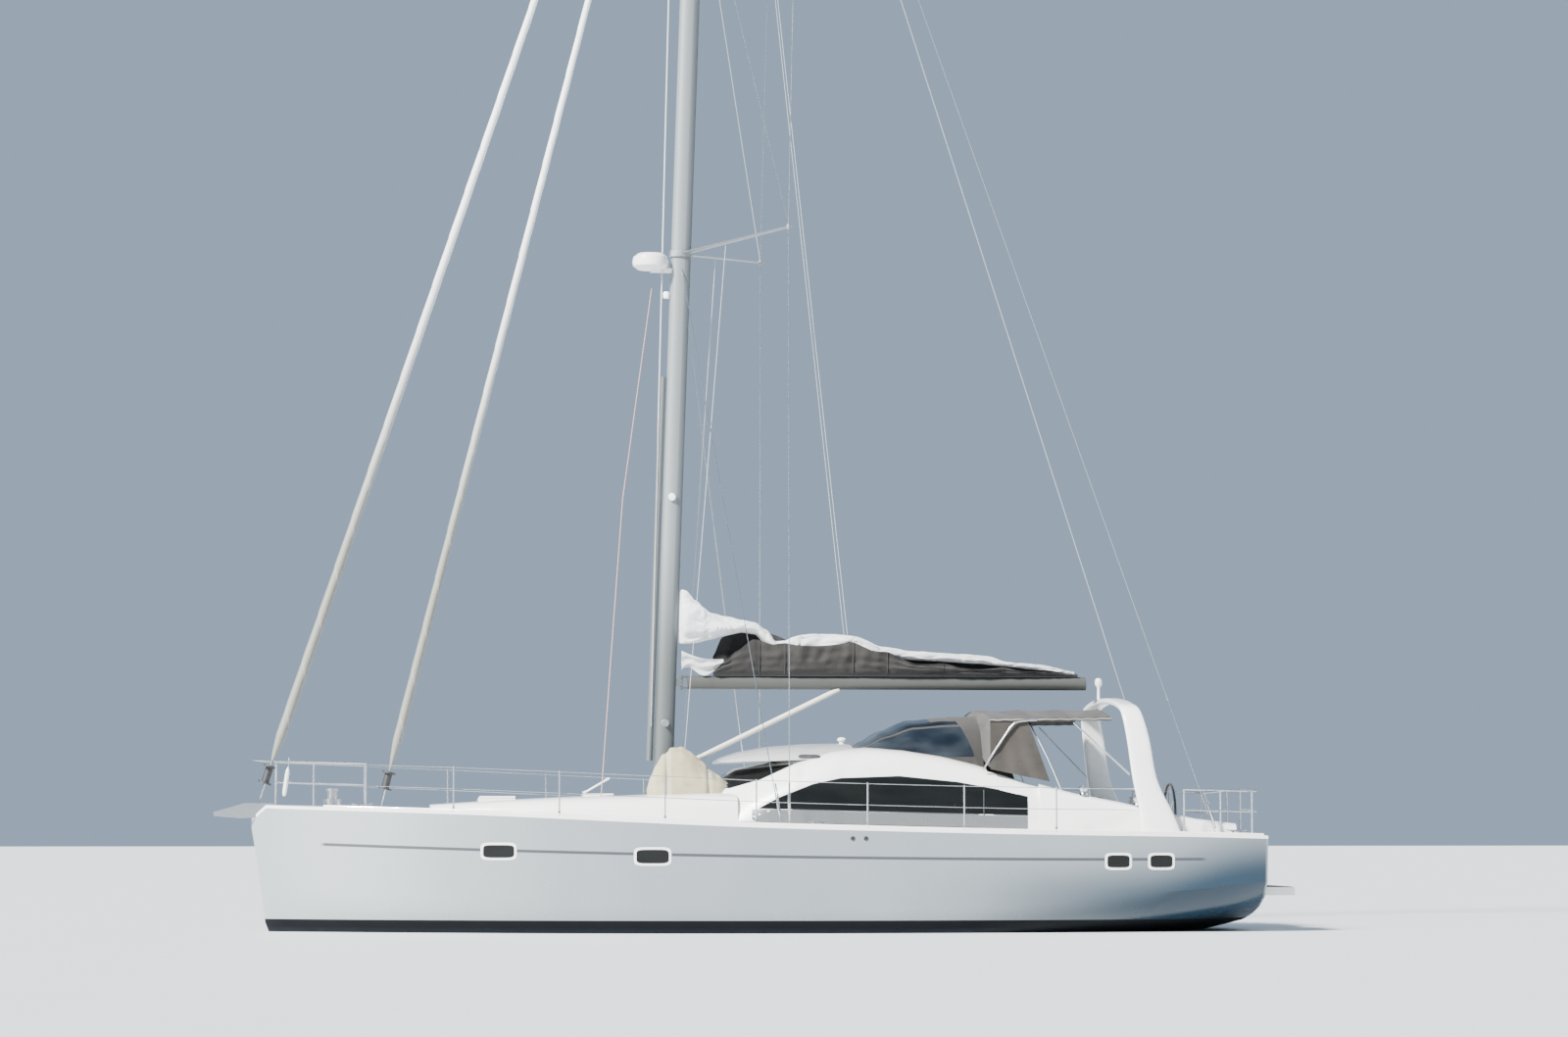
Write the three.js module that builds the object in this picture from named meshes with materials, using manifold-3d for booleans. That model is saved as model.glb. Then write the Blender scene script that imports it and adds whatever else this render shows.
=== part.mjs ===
// A 15 m cruising sloop afloat: fin keel, deck saloon, stern arch and a masthead rig with two furled headsails.
// Millimetres. +X is forward, +Y is port and +Z is up. The origin is on the waterline, amidships, on the centreline.
import * as THREE from "three";
import { mergeVertices } from "three/addons/utils/BufferGeometryUtils.js";
import Module from "manifold-3d";

const wasm = await Module();
wasm.setup();

// Driving dimensions of the hull
const SEAT_GAP = 0.3; // between pieces that touch
const PIN_PLAY = 0.8; // between a pin and its eye
const SLIDE_PLAY = 0.5;
const TRANSOM_X = -7215;
const DECK_THICKNESS = 45;
const DECK_CAMBER = 60;
const FULL_HALF_BEAM = 2300;

// Deckhouse and cockpit
const WALL = 45;
const HOUSE_CLEAR = 2.5; // the panes stand 2 mm proud of the shell
const GLASS = 12;
const HOUSE_BASE = 1500;
const BULKHEAD_X = -3150;
const WING_END_X = -3900;
const COCKPIT_END_X = -6550;
const COCKPIT_HALF_WIDTH = 1450;
const SALOON_FRONT_X = 450;
const SALOON_HALF_WIDTH = 1250;
const SALOON_SOLE = 600;
const SEAT_LEVEL = 1230;
const COCKPIT_SOLE = 850;
const FOOTWELL_HALF_WIDTH = 520;
const HELM_FRONT_X = -5050;
const PASSAGE_HALF_WIDTH = 380;
const PASSAGE_SOLE = 1000;
const HATCH_HALF_WIDTH = 360;
const HATCH_FRONT_X = -2250;

// Rig
const MAST_FOOT = { x: 1480, z: 2010 };
const MAST_RAKE = 0.0328; // aft for each unit of height
const MAST_CHORD = 290;
const MAST_WIDTH = 175;
const MASTHEAD_Z = 20850;
const BOOM_Z = 3655;
const BOOM_LENGTH = 6060;
const BOOM_HEIGHT = 200;
const BOOM_WIDTH = 150;
const PIN_AFT_OF_MAST = 85;
const WIRE_RADIUS = 7;
const CHAINPLATE = { x: -180, y: 2170 };
const LOWER_TIP = { x: -180, y: 2050, z: 10190 };
const UPPER_TIP = { x: -330, y: 1850, z: 16560 };
const BACKSTAY_FOOT = { x: -6450, y: 1830 };
const CRANE_TIP_X = 120;

// Underbody
const KEEL_DEPTH = 2200;
const RUDDER_X = -5780;
const RUDDER_DEPTH = 1850;
const STOCK_RADIUS = 45;
const SHAFT_RADIUS = 20;
const SHAFT_FRONT = { x: -3200, z: -480 };
const PROPELLER_HUB = { x: -4900, z: -830 };
const PROPELLER_RADIUS = 250;

const v = (x, y, z) => new THREE.Vector3(x, y, z);

// Finishes
const finish = (color, roughness, metalness = 0) =>
  new THREE.MeshStandardMaterial({ color, roughness, metalness });
const silverPaint = finish(0xc6cfd1, 0.25);
const whiteGelcoat = finish(0xf1f2ef, 0.35);
const antifouling = finish(0x14242e, 0.8);
const darkGlass = finish(0x0b1115, 0.08);
const stainless = finish(0xc2c6c9, 0.25, 1);
const greyAlloy = finish(0xa7abad, 0.4, 0.9);
const whiteAlloy = finish(0xe9eae8, 0.4);
const bronze = finish(0x9c7a44, 0.35, 1);
const taupeCanvas = finish(0x877a6c, 0.9);
const creamCanvas = finish(0xd8cdb6, 0.9);
const sailcloth = finish(0xeeede8, 0.8);
const hoodWindow = finish(0x9fb0b8, 0.3);
const blackPlastic = finish(0x17191b, 0.5);

// A closed geometry as a manifold-3d solid, its faces turned outwards.
function solid(geometry) {
  const bare = geometry.clone();
  bare.deleteAttribute("normal");
  bare.deleteAttribute("uv");
  const merged = mergeVertices(bare, 1e-3);
  const corners = [];
  for (let i = 0; i < merged.index.count; i += 3) {
    const [a, b, c] = [0, 1, 2].map((k) => merged.index.getX(i + k));
    if (a !== b && b !== c && c !== a) corners.push(a, b, c);
  }
  const build = (triVerts) =>
    new wasm.Manifold(
      new wasm.Mesh({
        numProp: 3,
        vertProperties: new Float32Array(merged.attributes.position.array),
        triVerts: new Uint32Array(triVerts),
      }),
    );
  const made = build(corners);
  return made.volume() < 0 ? build(corners.reverse()) : made;
}

function geometryOf(made) {
  const mesh = made.getMesh();
  return new THREE.BufferGeometry()
    .setAttribute("position", new THREE.BufferAttribute(new Float32Array(mesh.vertProperties), 3))
    .setIndex(new THREE.BufferAttribute(new Uint32Array(mesh.triVerts), 1));
}

const join = (...shapes) => geometryOf(shapes.map(solid).reduce((a, b) => a.add(b)));
const cut = (shape, ...tools) =>
  geometryOf(tools.map(solid).reduce((a, b) => a.subtract(b), solid(shape)));
const common = (a, b) => geometryOf(solid(a).intersect(solid(b)));
const raised = (shape, z) => shape.clone().translate(0, 0, z);
const mirrored = (shape) => geometryOf(solid(shape.clone().scale(1, -1, 1)));

// Skins a row of convex rings with equally many points, and closes both ends with fans.
function loft(rings) {
  const count = rings[0].length;
  const positions = [];
  const index = [];
  rings.flat().forEach((p) => positions.push(p.x, p.y, p.z));
  for (let i = 0; i + 1 < rings.length; i++)
    for (let j = 0; j < count; j++) {
      const [a, b] = [i * count + j, i * count + ((j + 1) % count)];
      index.push(a, b, b + count, a, b + count, a + count);
    }
  [0, rings.length - 1].forEach((i) => {
    const hub = rings[i].reduce((sum, p) => sum.add(p), v(0, 0, 0)).divideScalar(count);
    const centre = positions.length / 3;
    positions.push(hub.x, hub.y, hub.z);
    for (let j = 0; j < count; j++) {
      const [a, b] = [i * count + j, i * count + ((j + 1) % count)];
      index.push(...(i ? [a, b, centre] : [b, a, centre]));
    }
  });
  return new THREE.BufferGeometry()
    .setAttribute("position", new THREE.Float32BufferAttribute(positions, 3))
    .setIndex(index);
}

// A closed sheet between two grids of points with the same rows and columns.
function sheet(top, bottom) {
  const [rows, columns] = [top.length, top[0].length];
  const positions = [];
  [...top.flat(), ...bottom.flat()].forEach((p) => positions.push(p.x, p.y, p.z));
  const index = [];
  const under = rows * columns;
  const quad = (a, b, c, d) => index.push(a, b, c, a, c, d);
  for (let i = 0; i + 1 < rows; i++)
    for (let j = 0; j + 1 < columns; j++) {
      const a = i * columns + j;
      quad(a, a + 1, a + columns + 1, a + columns);
      quad(under + a, under + a + columns, under + a + columns + 1, under + a + 1);
    }
  for (let j = 0; j + 1 < columns; j++) {
    const last = (rows - 1) * columns + j;
    quad(j + 1, j, under + j, under + j + 1);
    quad(last, last + 1, under + last + 1, under + last);
  }
  for (let i = 0; i + 1 < rows; i++) {
    const [first, last] = [i * columns, (i + 1) * columns - 1];
    quad(first, first + columns, under + first + columns, under + first);
    quad(last + columns, last, under + last, under + last + columns);
  }
  return new THREE.BufferGeometry()
    .setAttribute("position", new THREE.Float32BufferAttribute(positions, 3))
    .setIndex(index);
}

function box(x0, x1, y0, y1, z0, z1) {
  return new THREE.BoxGeometry(x1 - x0, y1 - y0, z1 - z0).translate(
    (x0 + x1) / 2,
    (y0 + y1) / 2,
    (z0 + z1) / 2,
  );
}

// A straight bar between two points.
function rod(from, to, radius, sides = 8, endRadius = radius) {
  const along = to.clone().sub(from);
  const turn = new THREE.Quaternion().setFromUnitVectors(v(0, 1, 0), along.clone().normalize());
  return new THREE.CylinderGeometry(endRadius, radius, along.length(), sides)
    .translate(0, along.length() / 2, 0)
    .applyQuaternion(turn)
    .translate(from.x, from.y, from.z);
}

// A bar that bends smoothly through points.
function tube(points, radius, steps) {
  const section = new THREE.Shape().absarc(0, 0, radius, 0, 2 * Math.PI);
  return new THREE.ExtrudeGeometry(section, {
    extrudePath: new THREE.CatmullRomCurve3(points, false, "centripetal"),
    steps,
    curveSegments: 3,
    bevelEnabled: false,
  });
}

// A side view outline of [x, z] points, drawn out across the boat from y0 to y1.
function across(outline, y0, y1) {
  const shape = new THREE.Shape(outline.map(([x, z]) => new THREE.Vector2(x, z)));
  return new THREE.ExtrudeGeometry(shape, { depth: y1 - y0, bevelEnabled: false })
    .rotateX(Math.PI / 2)
    .translate(0, y1, 0);
}

// A smooth curve through a table's [x, value] columns that never overshoots.
function smooth(table, column) {
  const x = table.map((row) => row[0]);
  const y = table.map((row) => row[column]);
  const slope = x.slice(1).map((_, i) => (y[i + 1] - y[i]) / (x[i + 1] - x[i]));
  const tangent = x.map((_, i) => {
    const [before, after] = [slope[Math.max(i - 1, 0)], slope[Math.min(i, slope.length - 1)]];
    return before * after <= 0 ? 0 : (2 * before * after) / (before + after);
  });
  return (at) => {
    const s = THREE.MathUtils.clamp(at, x[0], x[x.length - 1]);
    const i = Math.max(0, Math.min(x.findIndex((edge) => s <= edge) - 1, x.length - 2));
    const width = x[i + 1] - x[i];
    const t = (s - x[i]) / width;
    const [t2, t3] = [t * t, t * t * t];
    return (
      (2 * t3 - 3 * t2 + 1) * y[i] +
      (t3 - 2 * t2 + t) * width * tangent[i] +
      (3 * t2 - 2 * t3) * y[i + 1] +
      (t3 - t2) * width * tangent[i + 1]
    );
  };
}

// A dome over a rectangular foot: the taller the power, the squarer its shoulders.
function domeRing(x, half, base, top, power, steps = 12) {
  const ring = [];
  for (let i = 0; i <= steps; i++) {
    const turn = (Math.PI * i) / steps;
    const [c, s] = [Math.cos(turn), Math.sin(turn)];
    const y = half * Math.sign(c) * Math.abs(c) ** (2 / power);
    ring.push(v(x, y, base + (top - base) * s ** (2 / power)));
  }
  return ring;
}

const yacht = new THREE.Group();
function piece(name, shape, material) {
  const mesh = new THREE.Mesh(shape, material);
  mesh.name = name;
  yacht.add(mesh);
  return shape;
}

// One piece on each side, the starboard one a mirror image.
function pair(name, shape, material) {
  piece(name + "_port", shape, material);
  piece(name + "_starboard", mirrored(shape), material);
}

// Hull stations: x, half beam at the sheer, sheer height, lowest point, fullness of the section
const hullStations = [
  [TRANSOM_X, 1885, 1395, 140, 5.5],
  [-7150, 1900, 1397, 124, 5.6],
  [-6960, 1935, 1402, 76, 5.8],
  [-6660, 1980, 1410, 6, 6],
  [-6330, 2022, 1418, -62, 6],
  [-6000, 2065, 1425, -130, 6],
  [-5000, 2165, 1440, -290, 5.9],
  [-4000, 2235, 1455, -450, 5.8],
  [-2700, 2290, 1480, -620, 5.7],
  [-1300, 2300, 1515, -720, 5.6],
  [0, 2285, 1550, -745, 5.5],
  [1500, 2185, 1610, -730, 5.4],
  [3000, 1975, 1680, -680, 5],
  [4200, 1700, 1735, -620, 4.6],
  [5200, 1390, 1770, -550, 4.1],
  [6000, 1060, 1795, -470, 3.6],
  [6600, 760, 1815, -370, 3.1],
  [7000, 520, 1828, -250, 2.6],
  [7200, 380, 1836, -100, 2.2],
  [7290, 300, 1840, 130, 2],
  [7400, 190, 1740, 940, 1.8],
  [7500, 80, 1640, 1500, 1.6],
];
const sheerHalf = smooth(hullStations, 1);
const sheerHeight = smooth(hullStations, 2);
const hullBottom = smooth(hullStations, 3);
const hullFullness = smooth(hullStations, 4);
const HULL_STEPS = 8;

function hullRing(x) {
  const [half, top] = [sheerHalf(x), sheerHeight(x) - DECK_THICKNESS];
  const [bottom, power] = [hullBottom(x), hullFullness(x)];
  const side = [];
  for (let i = 0; i <= HULL_STEPS; i++) {
    const u = 1 - (1 - i / HULL_STEPS) ** 0.6;
    const rise = u ** 2.1;
    side.push(v(x, half * (1 - (1 - rise) ** power), bottom + (top - bottom) * rise));
  }
  const other = side.slice(1).map((p) => v(p.x, -p.y, p.z));
  return [...side.reverse(), ...other];
}

const deckTop = (x, y) =>
  sheerHeight(x) + DECK_CAMBER * (sheerHalf(x) / FULL_HALF_BEAM) * (1 - (y / sheerHalf(x)) ** 2);

// The stations' places, with one more between each two of the long stretches.
const loftStations = hullStations.flatMap(([x], i) => {
  const next = hullStations[i + 1];
  return next && next[0] - x > 900 ? [x, (x + next[0]) / 2] : [x];
});

const hullBody = loft(loftStations.map(hullRing));
const DECK_COLUMNS = [-1, -0.6, 0, 0.6, 1];
const deckGrid = (height) =>
  loftStations.map((x) => DECK_COLUMNS.map((c) => v(x, c * sheerHalf(x), height(x, c * sheerHalf(x)))));
const deckBody = sheet(
  deckGrid(deckTop),
  deckGrid((x) => sheerHeight(x) - DECK_THICKNESS + SEAT_GAP),
);
// Everything that stands on the deck is trimmed to it by this block.
const deckTrimmer = sheet(
  deckGrid((x, y) => deckTop(x, y) + SEAT_GAP),
  deckGrid(() => 0),
);
const onDeck = (shape) => cut(shape, deckTrimmer);
const belowHull = (shape) => cut(shape, raised(hullBody, -SEAT_GAP));

const cockpitWell = join(
  box(COCKPIT_END_X, BULKHEAD_X, -FOOTWELL_HALF_WIDTH, FOOTWELL_HALF_WIDTH, COCKPIT_SOLE, 2500),
  box(HELM_FRONT_X, BULKHEAD_X, -COCKPIT_HALF_WIDTH + 40, COCKPIT_HALF_WIDTH - 40, SEAT_LEVEL, 2500),
  box(COCKPIT_END_X, HELM_FRONT_X + 1, -COCKPIT_HALF_WIDTH, COCKPIT_HALF_WIDTH, COCKPIT_SOLE, 2500),
);
const passage = box(
  TRANSOM_X - 100,
  COCKPIT_END_X + 1,
  -PASSAGE_HALF_WIDTH,
  PASSAGE_HALF_WIDTH,
  PASSAGE_SOLE,
  2500,
);
const saloonWell = box(
  BULKHEAD_X + 100,
  SALOON_FRONT_X,
  -SALOON_HALF_WIDTH,
  SALOON_HALF_WIDTH,
  SALOON_SOLE,
  2500,
);

// Bathing platform, hinged along the foot of the transom
const PLATFORM = { length: 520, half: 1250, top: 640, thickness: 120, axisX: TRANSOM_X - 30, axisZ: 622 };
const HINGE = { radius: 12, half: 30, places: [-850, 850] };
const hingeEyes = HINGE.places.map((y) =>
  box(
    TRANSOM_X - 48,
    TRANSOM_X + 20,
    y - HINGE.half,
    y + HINGE.half,
    PLATFORM.axisZ - 22,
    PLATFORM.axisZ + 20,
  ),
);
const platformAxis = (y0, y1, radius) =>
  rod(v(PLATFORM.axisX, y0, PLATFORM.axisZ), v(PLATFORM.axisX, y1, PLATFORM.axisZ), radius, 16);

const stockPocket = rod(v(RUDDER_X, 0, -600), v(RUDDER_X, 0, 200), STOCK_RADIUS + PIN_PLAY, 24);
const shaftLine = v(PROPELLER_HUB.x - SHAFT_FRONT.x, 0, PROPELLER_HUB.z - SHAFT_FRONT.z).normalize();
const alongShaft = (distance) =>
  v(SHAFT_FRONT.x, 0, SHAFT_FRONT.z).add(shaftLine.clone().multiplyScalar(distance));
const shaftPocket = rod(alongShaft(-60), alongShaft(900), SHAFT_RADIUS + PIN_PLAY, 16);
const hull = piece(
  "hull",
  cut(
    join(cut(hullBody, cockpitWell, passage, saloonWell), ...hingeEyes),
    stockPocket,
    shaftPocket,
    platformAxis(TRANSOM_X, -TRANSOM_X, HINGE.radius + PIN_PLAY),
  ),
  silverPaint,
);
const deck = piece("deck", cut(deckBody, cockpitWell, passage, saloonWell), whiteGelcoat);

const platformNotches = HINGE.places.map((y) =>
  box(
    TRANSOM_X - 75,
    TRANSOM_X + 100,
    y - HINGE.half - 5,
    y + HINGE.half + 5,
    PLATFORM.axisZ - 60,
    PLATFORM.top + 50,
  ),
);
piece(
  "bathing_platform",
  join(
    cut(
      box(
        TRANSOM_X - 10 - PLATFORM.length,
        TRANSOM_X - 10,
        -PLATFORM.half,
        PLATFORM.half,
        PLATFORM.top - PLATFORM.thickness,
        PLATFORM.top,
      ),
      ...platformNotches,
    ),
    ...HINGE.places.map((y) => platformAxis(y - HINGE.half - 40, y + HINGE.half + 40, HINGE.radius)),
  ),
  whiteGelcoat,
);

// Deckhouse stations: x, half width, roof height, squareness of the shoulders
const houseStations = [
  [-3900, 1640, 2150, 8],
  [-3400, 1625, 2330, 8],
  [-3000, 1610, 2450, 8],
  [-2500, 1590, 2580, 7],
  [-1950, 1575, 2660, 7],
  [-1400, 1560, 2690, 7],
  [-900, 1540, 2650, 6],
  [-500, 1515, 2565, 5],
  [-100, 1470, 2475, 3.6],
  [420, 1370, 2380, 2.4],
  [1020, 1200, 2040, 2],
];
const houseHalf = smooth(houseStations, 1);
const houseRoof = smooth(houseStations, 2);
// The deckhouse's outline, drawn in by an inset on every side.
function houseDome(inset) {
  return loft(
    houseStations.map(([x, half, roof, power], i) => {
      const shift = i === 0 ? inset : i === houseStations.length - 1 ? -inset * 1.6 : 0;
      return domeRing(x + shift, half - inset, HOUSE_BASE - 200, roof - inset, power, 14);
    }),
  );
}
// Low coachroof stations: x, half width, top
const coachroofStations = [
  [480, 1330, 2035],
  [1000, 1320, 2025],
  [2000, 1220, 1990],
  [3000, 1040, 1960],
  [4000, 790, 1910],
  [4900, 480, 1850],
];
const LID = { axisLift: 8.4, plateLift: 5, plate: 28, barrel: 8 };
const saloonHatch = { frontX: 2640, length: 420, half: 260, seat: 2010, angle: -30 };
const forwardHatch = { frontX: 4180, length: 520, half: 260, seat: 1940, angle: 0 };
// A flat frame for a lid, standing on the coachroof, around a shallow dark recess.
const hatchFrame = ({ frontX, length, half, seat }) =>
  box(frontX - length, frontX + 20, -half, half, seat - 120, seat);
const hatchRecess = ({ frontX, length, half, seat }) =>
  box(frontX - length + 50, frontX - 50, -half + 50, half - 50, seat - 90, seat + 10);
const coachroofDome = loft(
  coachroofStations.map(([x, half, top]) => domeRing(x, half, 1400, top, 6, 12)),
);
const coachroof = piece(
  "coachroof",
  onDeck(
    cut(
      join(coachroofDome, hatchFrame(saloonHatch), hatchFrame(forwardHatch)),
      hatchRecess(saloonHatch),
      hatchRecess(forwardHatch),
      houseDome(-HOUSE_CLEAR),
    ),
  ),
  whiteGelcoat,
);

// A lid hinged along its front edge, lifted by its angle in the photograph's pose.
function lid({ frontX, length, half, seat, angle }) {
  const bottom = LID.plateLift - LID.axisLift;
  const plate = box(-length, 0, -half, half, bottom, bottom + LID.plate);
  const barrel = rod(v(0, -half * 0.6, 0), v(0, half * 0.6, 0), LID.barrel, 12);
  return join(plate, barrel)
    .rotateY(THREE.MathUtils.degToRad(-angle))
    .translate(frontX, 0, seat + LID.axisLift);
}
piece("saloon_hatch", lid(saloonHatch), whiteGelcoat);
piece("forward_hatch", lid(forwardHatch), whiteGelcoat);

const windowOutline = [
  [180, 1790],
  [-110, 1945],
  [-600, 2140],
  [-1000, 2225],
  [-1850, 2255],
  [-2700, 2170],
  [-3300, 2060],
  [-3720, 1960],
  [-3720, 1690],
];
const windshieldOutline = [
  [985, 2085],
  [560, 2330],
  [440, 2352],
  [-360, 2440],
  [120, 2215],
  [560, 2085],
];
const shrunk = (outline, by) => {
  const centre = outline.reduce(([sx, sz], [x, z]) => [sx + x, sz + z], [0, 0]).map((s) => s / outline.length);
  return outline.map(([x, z]) => {
    const [dx, dz] = [x - centre[0], z - centre[1]];
    const reach = Math.hypot(dx, dz);
    return [x - (dx / reach) * by, z - (dz / reach) * by];
  });
};
const houseOuter = houseDome(0);
const houseTrimmer = houseDome(-HOUSE_CLEAR);
const behindBulkhead = box(-4500, BULKHEAD_X, -COCKPIT_HALF_WIDTH, COCKPIT_HALF_WIDTH, 1000, 3500);
const cabinAir = cut(
  houseDome(WALL),
  box(-4500, BULKHEAD_X + WALL, -2500, 2500, 1000, 3500),
);
const companionway = box(
  BULKHEAD_X - 100,
  HATCH_FRONT_X,
  -HATCH_HALF_WIDTH + 40,
  HATCH_HALF_WIDTH - 40,
  1580,
  3000,
);
const HATCH_PLANE = 2705;
const hatchRails = [-1, 1].map((side) =>
  box(
    BULKHEAD_X,
    HATCH_FRONT_X + 640,
    side * HATCH_HALF_WIDTH - 30,
    side * HATCH_HALF_WIDTH + 30,
    2380,
    HATCH_PLANE,
  ),
);
const house = piece(
  "deckhouse",
  onDeck(
    cut(
      join(cut(houseOuter, behindBulkhead, cabinAir), ...hatchRails.map((rail) => cut(rail, cabinAir))),
      across(windowOutline, -3000, 3000),
      across(windshieldOutline, -3000, 3000),
      companionway,
    ),
  ),
  whiteGelcoat,
);
const pane = cut(houseDome(-2), houseDome(GLASS));
pair(
  "side_window",
  common(pane, across(shrunk(windowOutline, 1.5), 200, 3000)),
  darkGlass,
);
piece("windshield", common(pane, across(shrunk(windshieldOutline, 1.5), -3000, 3000)), darkGlass);
piece(
  "companionway_hatch",
  box(
    BULKHEAD_X - 10,
    HATCH_FRONT_X + 60,
    -HATCH_HALF_WIDTH - 40,
    HATCH_HALF_WIDTH + 40,
    HATCH_PLANE + SLIDE_PLAY,
    HATCH_PLANE + 35,
  ),
  darkGlass,
);
// Coaming stations: x, outer face, top
const coamingStations = [
  [WING_END_X - SEAT_GAP, 1640, 2145],
  [-4400, 1680, 2010],
  [-5100, 1715, 1875],
  [-5700, 1725, 1740],
  [-6200, 1700, 1640],
  [-6800, 1640, 1570],
];
const coamingRing = ([x, outer, top]) => [
  v(x, COCKPIT_HALF_WIDTH, 1300),
  v(x, outer, 1300),
  v(x, outer, top - 120),
  v(x, outer - 25, top - 35),
  v(x, outer - 80, top),
  v(x, COCKPIT_HALF_WIDTH + 30, top),
  v(x, COCKPIT_HALF_WIDTH, top - 30),
];
pair("coaming", onDeck(loft(coamingStations.map(coamingRing))), whiteGelcoat);

// Arch: side leg stations from the foot to the crown: y, z, x of the middle, length along the boat, thickness
const archStations = [
  [1935, 1400, -5630, 600, 115],
  [1930, 1700, -5565, 490, 110],
  [1900, 2200, -5400, 360, 105],
  [1840, 2800, -5310, 330, 100],
  [1700, 3180, -5235, 290, 95],
  [1350, 3300, -5200, 260, 90],
  [700, 3370, -5185, 250, 90],
  [0, 3390, -5180, 250, 90],
];
const archRow = [
  ...archStations,
  ...archStations
    .slice(0, -1)
    .reverse()
    .map(([y, ...rest]) => [-y, ...rest]),
];
const archRings = archRow.map(([y, z, x, length, thickness], i) => {
  const before = archRow[Math.max(i - 1, 0)];
  const after = archRow[Math.min(i + 1, archRow.length - 1)];
  const along = v(0, after[0] - before[0], after[1] - before[1]).normalize();
  const out = v(0, along.z, -along.y);
  const corner = [
    [0.5, 0.25],
    [0.42, 0.5],
    [-0.42, 0.5],
    [-0.5, 0.25],
    [-0.5, -0.25],
    [-0.42, -0.5],
    [0.42, -0.5],
    [0.5, -0.25],
  ];
  return corner.map(([l, t]) => v(x + l * length, y, z).add(out.clone().multiplyScalar(t * thickness)));
});
const archForm = loft(archRings);
const ARCH_PLATE = { x: -5180, half: 130, top: 3450 };
const arch = piece(
  "arch",
  onDeck(
    join(
      archForm,
      box(
        ARCH_PLATE.x - ARCH_PLATE.half,
        ARCH_PLATE.x + ARCH_PLATE.half - 20,
        -ARCH_PLATE.half,
        ARCH_PLATE.half,
        ARCH_PLATE.top - 70,
        ARCH_PLATE.top,
      ),
    ),
  ),
  whiteGelcoat,
);

// Visor: a crowned shade from the roof out over the windshield: x, half width, underside, crown
const visorStations = [
  [690, 620, 2462, 2500],
  [620, 860, 2462, 2545],
  [380, 1040, 2470, 2625],
  [-70, 1150, 2480, 2705],
  [-600, 1195, 2500, 2745],
  [-1040, 1190, 2540, 2755],
  [-1240, 1080, 2600, 2745],
];
const visorForm = loft(
  visorStations.map(([x, half, under, crown]) => domeRing(x, half, under, crown, 2.2, 12)),
);
piece("visor", cut(visorForm, raised(houseOuter, SEAT_GAP)), whiteGelcoat);

// Sprayhood stations: x, half width, crown
const hoodStations = [
  [-1330, 760, 2715],
  [-1480, 960, 2800],
  [-1750, 1120, 2950],
  [-2150, 1210, 3105],
  [-2600, 1240, 3160],
  [-3145, 1250, 3175],
];
const HOOD_SKIN = 18;
const hoodGrid = (inset) =>
  hoodStations.map(([x, half, crown]) => domeRing(x, half - inset, 2250, crown - inset, 2.8, 14));
piece(
  "sprayhood",
  cut(sheet(hoodGrid(0), hoodGrid(HOOD_SKIN)), raised(houseOuter, SEAT_GAP)),
  hoodWindow,
);

// Bimini: a cambered cloth between the sprayhood and the arch
const BIMINI = { frontX: -3170, backX: -4970, half: 1600, edge: 3090, crown: 3240, skin: 18 };
const biminiGrid = (drop) =>
  [0, 0.25, 0.5, 0.75, 1].map((t) =>
    [-1, -0.92, -0.7, -0.4, 0, 0.4, 0.7, 0.92, 1].map((c) =>
      v(
        THREE.MathUtils.lerp(BIMINI.frontX, BIMINI.backX, t),
        c * BIMINI.half,
        BIMINI.edge +
          (BIMINI.crown - BIMINI.edge) * (1 - Math.abs(c) ** 2.4) -
          (Math.abs(c) === 1 ? 90 : 0) +
          40 * (t - 0.5) -
          drop,
      ),
    ),
  );
// Two hoops on feet outside the coamings hold the cloth up from below.
function hoop(x, footX) {
  const under = BIMINI.skin + 16;
  const lean = 40 * ((x - BIMINI.frontX) / (BIMINI.backX - BIMINI.frontX) - 0.5);
  const top = [-0.92, -0.7, -0.4, 0, 0.4, 0.7, 0.92].map((c) =>
    v(
      x,
      c * BIMINI.half,
      BIMINI.edge + (BIMINI.crown - BIMINI.edge) * (1 - Math.abs(c) ** 2.4) + lean - under,
    ),
  );
  const foot = (side) => [v(footX, side * 1560, 1800), v((x + footX) / 2, side * 1555, 2500)];
  const [near, far] = [foot(-1), foot(1)];
  return tube([...near, ...top, ...far.reverse()], 13, 22);
}
const coamingBlocks = join(
  raised(loft(coamingStations.map(coamingRing)), SEAT_GAP),
  raised(mirrored(loft(coamingStations.map(coamingRing))), SEAT_GAP),
);
const biminiRoom = sheet(biminiGrid(-60), biminiGrid(BIMINI.skin + SEAT_GAP));
piece("bimini_hoop", cut(hoop(-3750, -4330), coamingBlocks, houseTrimmer, biminiRoom), stainless);

// Side curtains hang from the bimini's forward corners, and are sewn to it
const CURTAIN = { frontX: -3180, backX: -4060, y: 1579, thickness: 16, top: 3005, bottom: 2180, rise: 180 };
const curtain = cut(
  across(
    [
      [CURTAIN.frontX, CURTAIN.top],
      [CURTAIN.backX, CURTAIN.top],
      [CURTAIN.backX, CURTAIN.bottom],
      [CURTAIN.frontX, CURTAIN.bottom + CURTAIN.rise],
    ],
    CURTAIN.y,
    CURTAIN.y + CURTAIN.thickness,
  ),
  houseTrimmer,
  coamingBlocks,
);
piece(
  "bimini",
  join(sheet(biminiGrid(0), biminiGrid(BIMINI.skin)), curtain, mirrored(curtain)),
  taupeCanvas,
);

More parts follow.
